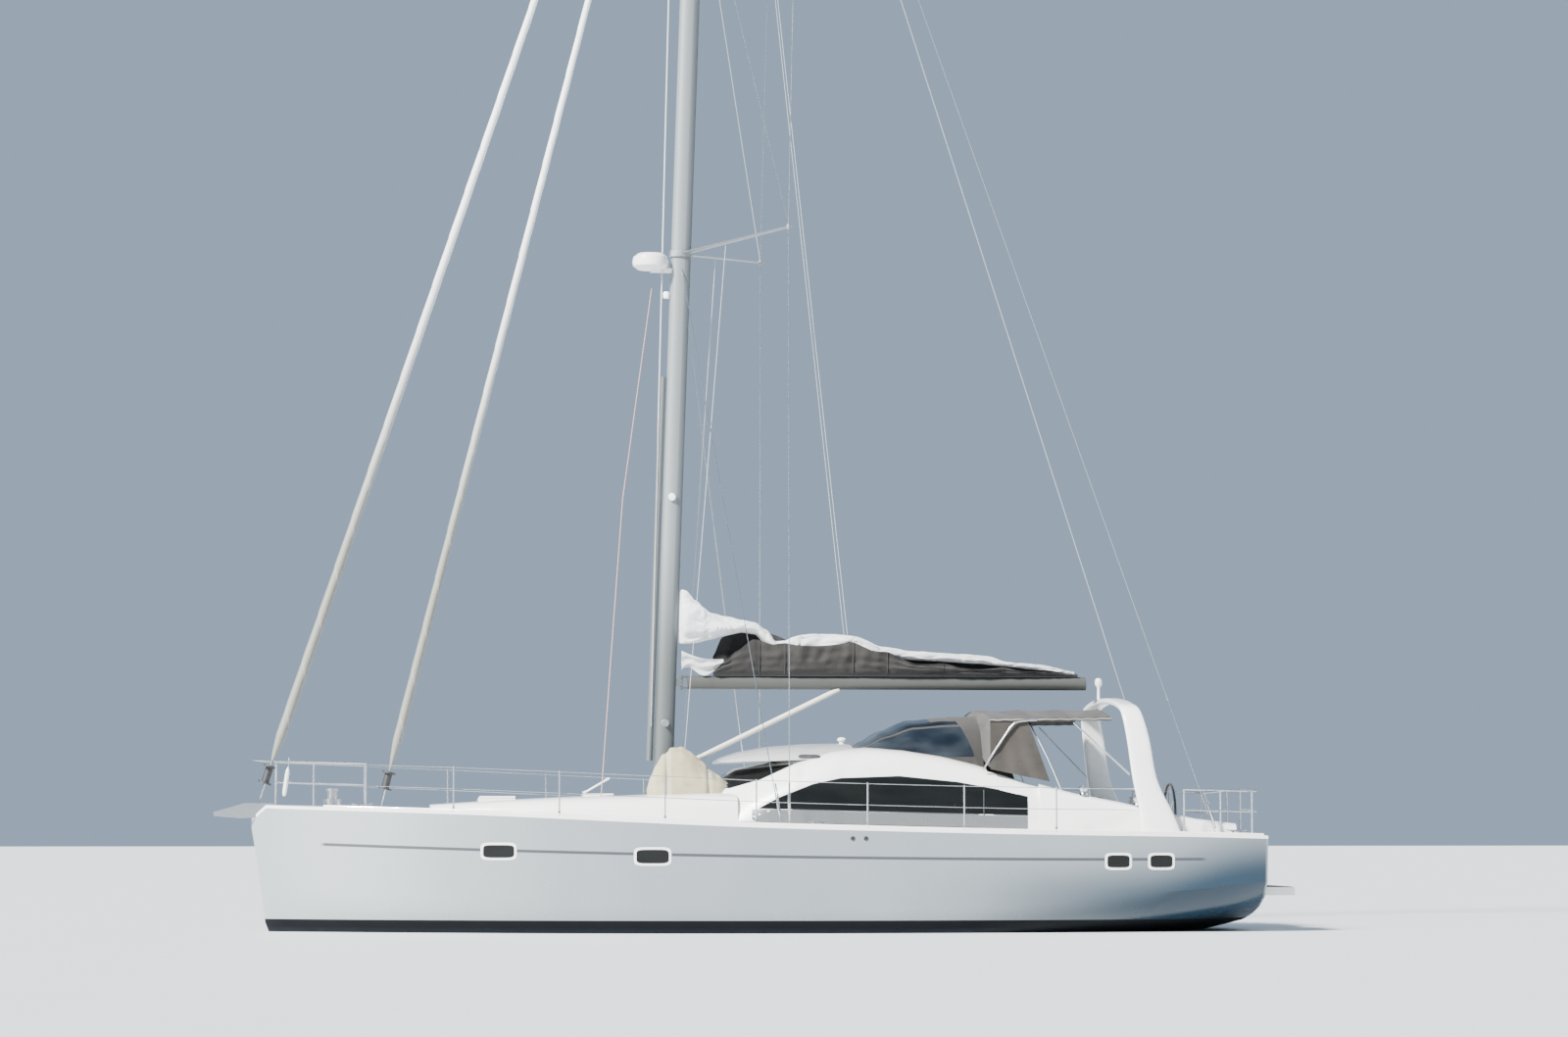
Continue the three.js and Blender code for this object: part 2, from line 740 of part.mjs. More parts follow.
// Mast and what is fixed to it
const mastX = (z) => MAST_FOOT.x - MAST_RAKE * (z - MAST_FOOT.z);
function ovalRing(x, y, z, chord, width, sides = 16) {
  const ring = [];
  for (let i = 0; i < sides; i++) {
    const turn = (2 * Math.PI * i) / sides;
    ring.push(v(x + (chord / 2) * Math.cos(turn), y + (width / 2) * Math.sin(turn), z));
  }
  return ring;
}
const pinX = (z) => mastX(z) - MAST_CHORD / 2 - PIN_AFT_OF_MAST;
const PIN_RADIUS = 15;
const VANG_FOOT_Z = 2420;
const mastSpar = loft([
  ovalRing(mastX(1900), 0, 1900, MAST_CHORD, MAST_WIDTH),
  ovalRing(mastX(19000), 0, 19000, MAST_CHORD, MAST_WIDTH),
  ovalRing(mastX(MASTHEAD_Z), 0, MASTHEAD_Z, MAST_CHORD * 0.72, MAST_WIDTH * 0.8),
]);
// Stays: foot on the deck and head on the mast, with a toggle above the end of the turning part
const STAY_END = 0.985; // as a share of the stay's length
const outerStay = { foot: v(7420, 0, 1850), head: v(1075, 0, 20790) };
const innerStay = { foot: v(5620, 0, 1850), head: v(985, 0, 20300) };
const alongStay = ({ foot, head }, from, distance) =>
  from.clone().add(head.clone().sub(foot).setLength(distance));
// A turned body on a stay, from rows of [distance along the stay, radius].
function spindle(stay, rows, sides) {
  const [start, end] = [rows[0][0], rows[rows.length - 1][0]];
  const profile = [[start, 0], ...rows, [end, 0]].map(([distance, radius]) => new THREE.Vector2(radius, distance));
  const turn = new THREE.Quaternion().setFromUnitVectors(
    v(0, 1, 0),
    stay.head.clone().sub(stay.foot).normalize(),
  );
  return new THREE.LatheGeometry(profile, sides)
    .applyQuaternion(turn)
    .translate(stay.foot.x, stay.foot.y, stay.foot.z);
}
function toggle(stay) {
  const length = stay.foot.distanceTo(stay.head);
  return spindle(
    stay,
    [
      [length * STAY_END + PIN_PLAY, 14],
      [length + 60, 14],
    ],
    8,
  );
}
// A bracket on the mast's aft face with an upright pin on the boom's turning axis.
const bracket = (z, half) =>
  join(
    box(pinX(z) - 8, mastX(z), -22, 22, z - half, z + half),
    rod(v(pinX(z - 110), 0, z - 110), v(pinX(z + 110), 0, z + 110), PIN_RADIUS, 16),
  );
const mast = piece(
  "mast",
  cut(
    join(mastSpar, bracket(BOOM_Z, 55), bracket(VANG_FOOT_Z, 30), toggle(innerStay)),
    raised(coachroofDome, SEAT_GAP),
  ),
  whiteAlloy,
);
const mastRoom = loft([
  ovalRing(mastX(1900), 0, 1900, MAST_CHORD + 1, MAST_WIDTH + 1),
  ovalRing(mastX(19000), 0, 19000, MAST_CHORD + 1, MAST_WIDTH + 1),
  ovalRing(mastX(MASTHEAD_Z), 0, MASTHEAD_Z + SEAT_GAP, MAST_CHORD * 0.72 + 1, MAST_WIDTH * 0.8 + 1),
]);
const CRANE = { bottom: 20700, top: 20950, frontX: 1090 };
piece(
  "masthead_crane",
  cut(
    join(toggle(outerStay), across(
      [
        [CRANE.frontX, CRANE.top - 30],
        [CRANE.frontX, CRANE.bottom],
        [700, CRANE.bottom],
        [CRANE_TIP_X - 60, CRANE.top - 90],
        [CRANE_TIP_X - 60, CRANE.top - 30],
        [400, CRANE.top],
        [900, CRANE.top],
      ],
      -75,
      75,
    )),
    mastRoom,
  ),
  greyAlloy,
);

// A swept pair of spreaders with a collar round the mast.
function spreaders(tip, rootZ) {
  const arm = (side) =>
    loft(
      [
        [0.02, 150, 40],
        [0.5, 130, 34],
        [1.012, 80, 26],
      ].map(([t, chord, thickness]) => {
        const centre = v(mastX(rootZ), 0, rootZ).lerp(v(tip.x, side * tip.y, tip.z), t);
        return [0, 1, 2, 3, 4, 5, 6, 7].map((i) => {
          const turn = (i * Math.PI) / 4;
          return v(
            centre.x + (chord / 2) * Math.cos(turn),
            centre.y,
            centre.z + (thickness / 2) * Math.sin(turn),
          );
        });
      }),
    );
  const collar = loft([
    ovalRing(mastX(rootZ - 45), 0, rootZ - 45, MAST_CHORD + 60, MAST_WIDTH + 60, 12),
    ovalRing(mastX(rootZ + 45), 0, rootZ + 45, MAST_CHORD + 60, MAST_WIDTH + 60, 12),
  ]);
  return cut(join(collar, arm(1), arm(-1)), mastRoom);
}
const lowerSpreaders = piece("lower_spreaders", spreaders(LOWER_TIP, 10040), greyAlloy);
const upperSpreaders = piece("upper_spreaders", spreaders(UPPER_TIP, 16430), greyAlloy);

// Shrouds, trimmed to the spreader tips that carry them
const chainplateFoot = v(CHAINPLATE.x, CHAINPLATE.y, deckTop(CHAINPLATE.x, CHAINPLATE.y) - 5);
const lowerTip = v(LOWER_TIP.x, LOWER_TIP.y, LOWER_TIP.z);
const upperTip = v(UPPER_TIP.x, UPPER_TIP.y, UPPER_TIP.z);
const wire = (from, to, radius = WIRE_RADIUS) => rod(from, to, radius, 6);
const wireTop = v(mastX(20640), MAST_WIDTH * 0.4 + 12, 20640);
pair(
  "cap_shroud_lower",
  onDeck(cut(wire(chainplateFoot, lowerTip), raised(lowerSpreaders, -SEAT_GAP))),
  stainless,
);
pair(
  "cap_shroud_middle",
  cut(
    wire(lowerTip, upperTip),
    raised(lowerSpreaders, SEAT_GAP),
    raised(upperSpreaders, -SEAT_GAP),
  ),
  stainless,
);
pair("cap_shroud_upper", cut(wire(upperTip, wireTop), raised(upperSpreaders, SEAT_GAP)), stainless);
pair(
  "lower_shroud",
  onDeck(
    cut(
      wire(chainplateFoot.clone().add(v(120, -30, 0)), v(mastX(9900), 60, 9900)),
      mastRoom,
    ),
  ),
  stainless,
);
pair(
  "backstay",
  onDeck(
    wire(
      v(BACKSTAY_FOOT.x, BACKSTAY_FOOT.y, deckTop(BACKSTAY_FOOT.x, BACKSTAY_FOOT.y) - 5),
      v(CRANE_TIP_X - 20, 60, CRANE.top - 104),
    ),
  ),
  stainless,
);

// Furled headsails on their stays: foot and head of the stay, ends of the rolled cloth
const stays = [
  {
    name: "outer",
    ...outerStay,
    drum: [0.016, 0.03],
    cloth: [0.047, 0.945],
    thick: 80,
  },
  {
    name: "inner",
    ...innerStay,
    drum: [0.012, 0.026],
    cloth: [0.042, 0.94],
    thick: 72,
  },
];
const DRUM = { flange: 105, body: 60, plate: 30 };
stays.forEach((stay) => {
  const length = stay.foot.distanceTo(stay.head);
  const [drumFoot, drumTop, clothFoot, clothHead] = [...stay.drum, ...stay.cloth].map((t) => t * length);
  piece(
    stay.name + "_furled_sail",
    spindle(
      stay,
      [
        [drumTop + SEAT_GAP, 16],
        [clothFoot, 16],
        [clothFoot, stay.thick * 0.55],
        [clothFoot + 230, stay.thick],
        [length * 0.35, stay.thick * 0.95],
        [length * 0.7, stay.thick * 0.75],
        [clothHead - 200, stay.thick * 0.5],
        [clothHead, stay.thick * 0.3],
        [clothHead, 16],
        [length * STAY_END, 16],
      ],
      10,
    ),
    sailcloth,
  );
  piece(
    stay.name + "_furler_drum",
    spindle(
      stay,
      [
        [drumFoot, DRUM.flange],
        [drumFoot + DRUM.plate, DRUM.flange],
        [drumFoot + DRUM.plate, DRUM.body],
        [drumTop - DRUM.plate, DRUM.body],
        [drumTop - DRUM.plate, DRUM.flange],
        [drumTop, DRUM.flange],
      ],
      14,
    ),
    blackPlastic,
  );
});
// A link runs up to just under each drum
const linkTop = (stay) => stay.drum[0] * stay.foot.distanceTo(stay.head) - PIN_PLAY;

// The inner stay's link under its drum
piece(
  "inner_stay_link",
  onDeck(
    spindle(
      stays[1],
      [
        [-60, 18],
        [linkTop(stays[1]), 18],
      ],
      8,
    ),
  ),
  stainless,
);

// Bow roller platform, which carries the outer stay's link
const ROLLER = { backX: 7180, frontX: 8050, half: 150, top: 1868, thickness: 40 };
piece(
  "bow_roller",
  cut(
    join(
      box(ROLLER.backX, 7420, -ROLLER.half, ROLLER.half, 1700, ROLLER.top),
      across(
        [
          [7380, ROLLER.top],
          [7380, 1660],
          [7700, 1650],
          [ROLLER.frontX, 1680],
          [ROLLER.frontX, 1740],
          [7600, ROLLER.top],
        ],
        -ROLLER.half,
        ROLLER.half,
      ),
      spindle(
        stays[0],
        [
          [-35, 20],
          [linkTop(stays[0]), 20],
        ],
        8,
      ),
    ),
    deckTrimmer,
    deckTrimmer.clone().translate(SEAT_GAP, 0, 0),
    raised(hullBody, SEAT_GAP),
    hullBody.clone().translate(SEAT_GAP, 0, 0),
    box(7480, ROLLER.frontX + 10, -ROLLER.half + 45, ROLLER.half - 45, 1720, 1900),
  ),
  stainless,
);
piece(
  "windlass",
  onDeck(
    join(
      rod(v(6330, 0, 1700), v(6330, 0, 1930), 130, 20),
      rod(v(6330, 0, 1900), v(6330, 0, 2060), 75, 16),
      rod(v(6330, 0, 2050), v(6330, 0, 2085), 95, 16),
    ),
  ),
  stainless,
);

// Boom, vang and the sail pack, which swing together
const boomPinX = pinX(BOOM_Z);
const boomFrontX = boomPinX - 45;
const lugs = [BOOM_Z - 80, BOOM_Z + 80].map((z) =>
  join(box(boomFrontX - 60, boomPinX, -25, 25, z - 15, z + 15), rod(v(boomPinX, 0, z - 15), v(boomPinX, 0, z + 15), 28, 16)),
);
const boomPin = rod(
  v(pinX(BOOM_Z - 200), 0, BOOM_Z - 200),
  v(pinX(BOOM_Z + 200), 0, BOOM_Z + 200),
  PIN_RADIUS + PIN_PLAY,
  16,
);
const boomRing = (x) =>
  [0, 1, 2, 3, 4, 5, 6, 7, 8, 9, 10, 11].map((i) => {
    const turn = (i * Math.PI) / 6;
    return v(x, (BOOM_WIDTH / 2) * Math.cos(turn), BOOM_Z + (BOOM_HEIGHT / 2) * Math.sin(turn));
  });
const boomEndX = boomPinX - BOOM_LENGTH;
const boomSpar = loft([boomRing(boomFrontX - 40), boomRing(boomEndX)]);
piece("boom", cut(join(boomSpar, ...lugs), boomPin), whiteAlloy);

const vangTop = v(-1150, 0, BOOM_Z - BOOM_HEIGHT / 2 + 6);
const vangPinX = pinX(VANG_FOOT_Z);
const vangEye = [VANG_FOOT_Z - 55, VANG_FOOT_Z + 55].map((z) =>
  join(
    rod(v(vangPinX, 0, z - 12), v(vangPinX, 0, z + 12), 28, 16),
    box(vangPinX - 110, vangPinX, -14, 14, z - 12, z + 12),
  ),
);
const vangPin = rod(
  v(pinX(VANG_FOOT_Z - 200), 0, VANG_FOOT_Z - 200),
  v(pinX(VANG_FOOT_Z + 200), 0, VANG_FOOT_Z + 200),
  PIN_RADIUS + PIN_PLAY,
  16,
);
piece(
  "vang",
  cut(
    join(
      box(vangPinX - 130, vangPinX - 80, -20, 20, VANG_FOOT_Z - 67, VANG_FOOT_Z + 67),
      ...vangEye,
      rod(v(vangPinX - 110, 0, VANG_FOOT_Z + 30), vangTop, 38, 12),
    ),
    vangPin,
    raised(boomSpar, -SEAT_GAP),
  ),
  greyAlloy,
);

// Sail pack stations: x, half width, bottom, top
const packStations = [
  [boomEndX + 120, 60, 3745, 3860],
  [-4200, 130, 3700, 3990],
  [-3200, 175, 3690, 4100],
  [-1900, 200, 3680, 4230],
  [-900, 215, 3680, 4370],
  [0, 215, 3680, 4480],
  [600, 205, 3690, 4780],
  [960, 150, 3720, 5030],
  [1090, 85, 3800, 5030],
];
const packRing = ([x, half, bottom, top]) =>
  [0, 1, 2, 3, 4, 5, 6, 7, 8, 9, 10, 11].map((i) => {
    const turn = (i * Math.PI) / 6;
    const [c, s] = [Math.cos(turn), Math.sin(turn)];
    const waist = s > 0 ? 1 - 0.35 * s : 1;
    return v(x, half * waist * c, (bottom + top) / 2 - 40 * (1 - s * s) + ((top - bottom) / 2) * s);
  });
piece("sail_pack", cut(loft(packStations.map(packRing)), raised(boomSpar, SEAT_GAP)), taupeCanvas);

// Whisker pole, radome and the bundle at the mast foot
const mastFront = (z) => mastX(z) + MAST_CHORD / 2;
const POLE = { bottom: 2500, top: 8200, radius: 48 };
piece(
  "whisker_pole",
  cut(
    join(
      rod(
        v(mastFront(POLE.bottom) + 62, 0, POLE.bottom),
        v(mastFront(POLE.top) + 62, 0, POLE.top),
        POLE.radius,
        12,
      ),
      box(mastX(2700), mastFront(2700) + 62, -18, 18, 2680, 2720),
      box(mastX(8000), mastFront(8000) + 62, -18, 18, 7980, 8020),
    ),
    mastRoom,
  ),
  greyAlloy,
);
const RADOME = { z: 9800, radius: 275, height: 250 };
const radomeX = mastFront(RADOME.z) + RADOME.radius + 25;
piece(
  "radome",
  cut(
    join(
      new THREE.LatheGeometry(
        [
          [0, 0],
          [0.7, 0],
          [0.95, 0.2],
          [1, 0.45],
          [0.93, 0.75],
          [0.7, 0.95],
          [0, 1],
        ].map(([r, h]) => new THREE.Vector2(r * RADOME.radius, h * RADOME.height)),
        20,
      )
        .rotateX(Math.PI / 2)
        .translate(radomeX, 0, RADOME.z),
      box(mastX(RADOME.z), radomeX, -40, 40, RADOME.z - 40, RADOME.z + 20),
    ),
    mastRoom,
  ),
  whiteGelcoat,
);
const bundleStations = [
  [520, 160, 2330],
  [700, 230, 2420],
  [1150, 260, 2560],
  [1550, 250, 2600],
  [1780, 150, 2420],
];
const BUNDLE_Y = 720;
piece(
  "sail_bundle",
  cut(
    loft(
      bundleStations.map(([x, half, top]) =>
        domeRing(x, half, 1900, top, 2.6, 12).map((p) => p.add(v(0, BUNDLE_Y, 0))),
      ),
    ),
    raised(coachroof, 1),
    raised(coachroofDome, 1),
    houseTrimmer,
  ),
  creamCanvas,
);

// Rails
const RAIL = { radius: 14, line: 5, inset: 60, high: 640, low: 340 };
const railPoint = (x, side, lift, inset = RAIL.inset) => {
  const y = sheerHalf(x) - inset;
  return v(x, side * y, deckTop(x, y) + lift);
};
const PULPIT_X = [5850, 6600, 7150];
function pulpitSide(side) {
  const bars = PULPIT_X.map((x) => rod(railPoint(x, side, -20), railPoint(x, side, RAIL.high), RAIL.radius, 6));
  const low = PULPIT_X.slice(1).map((x, i) =>
    rod(railPoint(PULPIT_X[i], side, RAIL.low), railPoint(x, side, RAIL.low), RAIL.radius * 0.8, 6),
  );
  return [...bars, ...low];
}
const pulpitTop = [-1, 1].map((side) => PULPIT_X.map((x) => railPoint(x, side, RAIL.high)));
piece(
  "pulpit",
  onDeck(
    join(
      tube(
        [
          ...pulpitTop[0],
          v(7440, -120, 2500),
          v(7480, 0, 2505),
          v(7440, 120, 2500),
          ...pulpitTop[1].reverse(),
        ],
        RAIL.radius,
        20,
      ),
      ...pulpitSide(1),
      ...pulpitSide(-1),
    ),
  ),
  stainless,
);

const STANCHION_X = [4600, 3100, 1600, 300, -1300, -2700, -4050];
const ARCH_FRONT_X = -5250;
function guardRail(side) {
  const posts = STANCHION_X.map((x) =>
    rod(railPoint(x, side, -20), railPoint(x, side, RAIL.high), RAIL.radius * 0.9, 6),
  );
  const lines = [RAIL.high - 15, RAIL.low - 20].flatMap((lift) => {
    const row = [
      railPoint(PULPIT_X[0], side, lift).add(v(-RAIL.radius - 1, 0, 0)),
      ...STANCHION_X.map((x) => railPoint(x, side, lift)),
      v(ARCH_FRONT_X, side * 1925, deckTop(ARCH_FRONT_X, 1925) + lift),
    ];
    return row.slice(1).map((point, i) => rod(row[i], point, RAIL.line, 4));
  });
  return cut(onDeck(join(...posts, ...lines)), archForm, mirrored(archForm));
}
pair("guard_rail", guardRail(1), stainless);

const PUSHPIT_X = [-5950, -6500, -6980];
function pushpit(side) {
  const legs = PUSHPIT_X.map((x) => rod(railPoint(x, side, -20), railPoint(x, side, RAIL.high), RAIL.radius, 6));
  const inner = v(-7100, side * 480, 0);
  const stern = v(-7130, side * 1450, 0);
  const at = (point, lift) => v(point.x, point.y, deckTop(point.x, point.y) + lift);
  const rail = (lift) => [...PUSHPIT_X.map((x) => railPoint(x, side, lift)), at(stern, lift), at(inner, lift)];
  return onDeck(
    join(
      ...legs,
      rod(at(inner, -20), at(inner, RAIL.high), RAIL.radius),
      tube(rail(RAIL.high), RAIL.radius, 20),
      tube(rail(RAIL.low), RAIL.radius * 0.8, 20),
    ),
  );
}
pair("pushpit", pushpit(1), stainless);

// Helm stations: a pedestal and a wheel on each side
const WHEEL = { x: -5950, y: 930, z: 1720, radius: 450, rim: 16, hub: 45, spokes: 6 };
const pedestal = cut(
  join(
    loft([
      [850 + SEAT_GAP, 190, 260],
      [1300, 130, 190],
      [1700, 120, 170],
      [1860, 150, 200],
    ].map(([z, width, length]) => [
      v(-5830 + length / 2, WHEEL.y - width / 2, z),
      v(-5830 + length / 2, WHEEL.y + width / 2, z),
      v(-5830 - length / 2 + 10, WHEEL.y + width / 2, z),
      v(-5830 - length / 2 + 10, WHEEL.y - width / 2, z),
    ])),
  ),
  rod(v(WHEEL.x - 100, WHEEL.y, WHEEL.z), v(-5800, WHEEL.y, WHEEL.z), 18 + PIN_PLAY, 16),
);
pair("pedestal", pedestal, whiteGelcoat);
const rim = new THREE.TorusGeometry(WHEEL.radius - WHEEL.rim, WHEEL.rim, 6, 24)
  .rotateY(Math.PI / 2)
  .translate(WHEEL.x, WHEEL.y, WHEEL.z);
const spokes = Array.from({ length: WHEEL.spokes }, (_, i) => {
  const turn = (2 * Math.PI * i) / WHEEL.spokes;
  const reach = WHEEL.radius - WHEEL.rim;
  return rod(
    v(WHEEL.x, WHEEL.y, WHEEL.z),
    v(WHEEL.x, WHEEL.y + reach * Math.sin(turn), WHEEL.z + reach * Math.cos(turn)),
    9,
    5,
  );
});
pair(
  "wheel",
  join(
    rim,
    ...spokes,
    rod(v(WHEEL.x - 22, WHEEL.y, WHEEL.z), v(WHEEL.x + 22, WHEEL.y, WHEEL.z), WHEEL.hub, 16),
    rod(v(WHEEL.x, WHEEL.y, WHEEL.z), v(-5805, WHEEL.y, WHEEL.z), 18, 16),
  ),
  stainless,
);

// Keel: fin stations from the root down: z, middle x, chord, thickness
const finStations = [
  [-560, 380, 2350, 300],
  [-780, 360, 2250, 270],
  [-1950, 250, 1650, 200],
];
const foilRing = ([z, x, chord, thickness], steps = 12) => {
  const ring = [];
  for (let i = 0; i < 2 * steps; i++) {
    const turn = (Math.PI * i) / steps;
    const along = Math.cos(turn);
    const taper = 0.62 + 0.38 * along;
    ring.push(v(x + (chord / 2) * along, (thickness / 2) * Math.sin(turn) * Math.sqrt(taper), z));
  }
  return ring;
};
const bulbStations = [
  [1620, 20, 15],
  [1520, 110, 75],
  [1200, 200, 125],
  [600, 235, 140],
  [-100, 210, 130],
  [-700, 130, 95],
  [-1050, 25, 30],
];
const BULB_Z = -2070;
const bulb = loft(
  bulbStations.map(([x, half, height]) =>
    Array.from({ length: 16 }, (_, i) => {
      const turn = (2 * Math.PI * i) / 16;
      const z = BULB_Z + height * Math.sin(turn);
      return v(x, half * Math.cos(turn), Math.max(z, -KEEL_DEPTH + 10));
    }),
  ),
);
const SOLE = { front: 1000, back: -100, half: 110 };
piece(
  "keel",
  belowHull(
    join(
      loft(finStations.map((row) => foilRing(row))),
      bulb,
      box(SOLE.back, SOLE.front, -SOLE.half, SOLE.half, -KEEL_DEPTH, -KEEL_DEPTH + 60),
    ),
  ),
  antifouling,
);

// Rudder, turning on its stock
piece(
  "rudder",
  join(
    loft(
      [
        [-250, RUDDER_X - 170, 880, 150],
        [-1100, RUDDER_X - 130, 740, 120],
        [-RUDDER_DEPTH, RUDDER_X - 90, 560, 80],
      ].map((row) => foilRing(row, 10)),
    ),
    rod(v(RUDDER_X, 0, -400), v(RUDDER_X, 0, 195), STOCK_RADIUS, 24),
  ),
  antifouling,
);

// Propeller with its shaft, and the bracket that holds the shaft's tail
const tail = alongShaft(1735);
function blade(turn) {
  const shape = new THREE.Shape()
    .moveTo(0, -38)
    .bezierCurveTo(120, -95, PROPELLER_RADIUS - 30, -95, PROPELLER_RADIUS, 0)
    .bezierCurveTo(PROPELLER_RADIUS - 30, 75, 120, 80, 0, 38);
  return new THREE.ExtrudeGeometry(shape, { depth: 14, bevelEnabled: false, curveSegments: 6 })
    .translate(0, 0, -7)
    .rotateX(THREE.MathUtils.degToRad(28))
    .rotateZ(turn);
}
const hubForm = new THREE.LatheGeometry(
  [
    [0, -95],
    [30, -80],
    [48, -40],
    [55, 30],
    [50, 60],
    [0, 60],
  ].map(([r, h]) => new THREE.Vector2(r, h)),
  16,
).rotateX(Math.PI / 2);
const toShaft = new THREE.Quaternion().setFromUnitVectors(v(0, 0, -1), shaftLine);
const propellerForm = join(hubForm, ...[0, 1, 2].map((i) => blade((i * 2 * Math.PI) / 3)))
  .applyQuaternion(toShaft)
  .translate(tail.x, tail.y, tail.z);
piece("propeller", join(propellerForm, rod(alongShaft(0), tail, SHAFT_RADIUS, 16)), bronze);
const BRACKET_AT = 1560;
piece(
  "shaft_bracket",
  belowHull(
    cut(
      join(
        rod(alongShaft(BRACKET_AT - 75), alongShaft(BRACKET_AT + 75), 42, 16),
        loft(
          [
            [alongShaft(BRACKET_AT).z + 20, alongShaft(BRACKET_AT).x, 120, 26],
            [-150, alongShaft(BRACKET_AT).x + 60, 190, 34],
          ].map((row) => foilRing(row, 6)),
        ),
      ),
      rod(alongShaft(BRACKET_AT - 200), alongShaft(BRACKET_AT + 200), SHAFT_RADIUS + PIN_PLAY, 16),
    ),
  ),
  bronze,
);

export default yacht;
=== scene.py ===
# %% [markdown]
# # A sailing yacht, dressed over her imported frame
# The frame is the yacht's exact solids, each one riding on the body that it moves with. This
# lesson gives them their paint, glass, metal and cloth, and adds what a solid model leaves plain.
# Everything is in metres: +X is the bow, +Y is port, and z = 0 is the water.

# %% Load the frame
import math

import bmesh
import bpy
from mathutils import Matrix, Vector, noise
from mathutils.bvhtree import BVHTree


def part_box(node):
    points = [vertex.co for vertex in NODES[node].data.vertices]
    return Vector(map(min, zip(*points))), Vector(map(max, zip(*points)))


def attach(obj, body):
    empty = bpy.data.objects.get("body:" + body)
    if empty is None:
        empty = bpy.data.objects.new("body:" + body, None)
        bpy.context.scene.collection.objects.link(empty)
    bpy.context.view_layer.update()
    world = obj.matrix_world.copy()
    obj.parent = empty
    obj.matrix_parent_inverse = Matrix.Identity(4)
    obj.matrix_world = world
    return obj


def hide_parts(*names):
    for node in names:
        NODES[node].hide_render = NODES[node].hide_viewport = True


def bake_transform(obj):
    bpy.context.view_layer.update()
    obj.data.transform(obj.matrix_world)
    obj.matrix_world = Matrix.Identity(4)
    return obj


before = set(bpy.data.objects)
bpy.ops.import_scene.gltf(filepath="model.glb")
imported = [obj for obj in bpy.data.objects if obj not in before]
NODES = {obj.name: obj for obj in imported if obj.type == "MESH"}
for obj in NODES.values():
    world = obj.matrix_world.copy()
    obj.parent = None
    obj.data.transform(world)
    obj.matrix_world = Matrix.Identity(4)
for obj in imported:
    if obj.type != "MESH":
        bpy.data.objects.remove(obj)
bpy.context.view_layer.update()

SIDES = {"port": 1, "starboard": -1}

# %% [markdown]
# ## The view
# A ship is photographed from far off with a long lens, so her lines stay nearly parallel. The
# camera stands 65 m to port and a little ahead of the beam, at the eye height of a small boat, and
# looks up about four degrees, which puts the horizon low in the picture.

# %% Camera
VIEW_AZIMUTH, VIEW_PITCH = math.radians(174), 3.96
VIEW_AIM, VIEW_DISTANCE = Vector((-0.33, 0, 1.6)), 65
LENS_LENGTH, SENSOR_WIDTH = 100.5, 36
show = bpy.context.scene.collection.objects.link

camera = bpy.data.objects.new("camera", bpy.data.cameras.new("camera"))
show(camera)
away = Vector((math.sin(VIEW_AZIMUTH), -math.cos(VIEW_AZIMUTH), 0))
camera.location = VIEW_AIM + away * VIEW_DISTANCE
camera.rotation_euler = (math.radians(90 + VIEW_PITCH), 0, VIEW_AZIMUTH)
camera.data.lens = LENS_LENGTH
camera.data.sensor_width = SENSOR_WIDTH
camera.data.clip_end = 600
bpy.context.scene.camera = camera
print("camera at", [round(v, 2) for v in camera.location])

# %% [markdown]
# ## Light
# One broad, soft sun from the bow side of the camera models the topsides, and a pale sky fills the
# shadows. A smaller light from astern keeps the far edges of the mast and arch from going flat.


# %% Sky and suns
def sun(name, energy, towards, angle, tint):
    """A soft sun that shines from the direction towards."""
    lamp = bpy.data.objects.new(name, bpy.data.lights.new(name, "SUN"))
    lamp.data.energy = energy
    lamp.data.angle = math.radians(angle)
    lamp.data.color = tint
    lamp.rotation_euler = Vector(towards).to_track_quat("Z", "Y").to_euler()
    show(lamp)


sky = bpy.data.worlds.new("sky")
bpy.context.scene.world = sky
sky.use_nodes = True
sky_light = sky.node_tree.nodes["Background"].inputs
sky_light["Color"].default_value = (0.42, 0.56, 0.74, 1)
sky_light["Strength"].default_value = 0.8
sun("key", 17, (0.60, 0.50, 0.62), 8, (1, 0.98, 0.95))
sun("back", 1.0, (-0.7, -0.5, 0.5), 30, (0.85, 0.92, 1))
print("two suns and a sky")

# %% [markdown]
# ## Shader maths
# A node tree is hard to read as a list of links. Wire wraps one output of a node and overloads the
# arithmetic signs, so a mask can be written as a formula. Finish is a material whose few calls make
# the nodes, and each call takes the node's settings first and then what goes into its sockets.


# %% Wire and Finish
class Wire:
    """One node output that can stand in a formula."""

    def __init__(self, finish, socket):
        self.finish, self.socket = finish, socket

    def __add__(self, other):
        return self.finish.maths("ADD", self, other)

    def __sub__(self, other):
        return self.finish.maths("SUBTRACT", self, other)

    def __rsub__(self, other):
        return self.finish.maths("SUBTRACT", other, self)

    def __mul__(self, other):
        return self.finish.maths("MULTIPLY", self, other)

    def __truediv__(self, other):
        return self.finish.maths("DIVIDE", self, other)

    def __abs__(self):
        return self.finish.maths("ABSOLUTE", self)

    def __mod__(self, other):
        return self.finish.maths("FLOORED_MODULO", self, other)

    __radd__ = __add__
    __rmul__ = __mul__


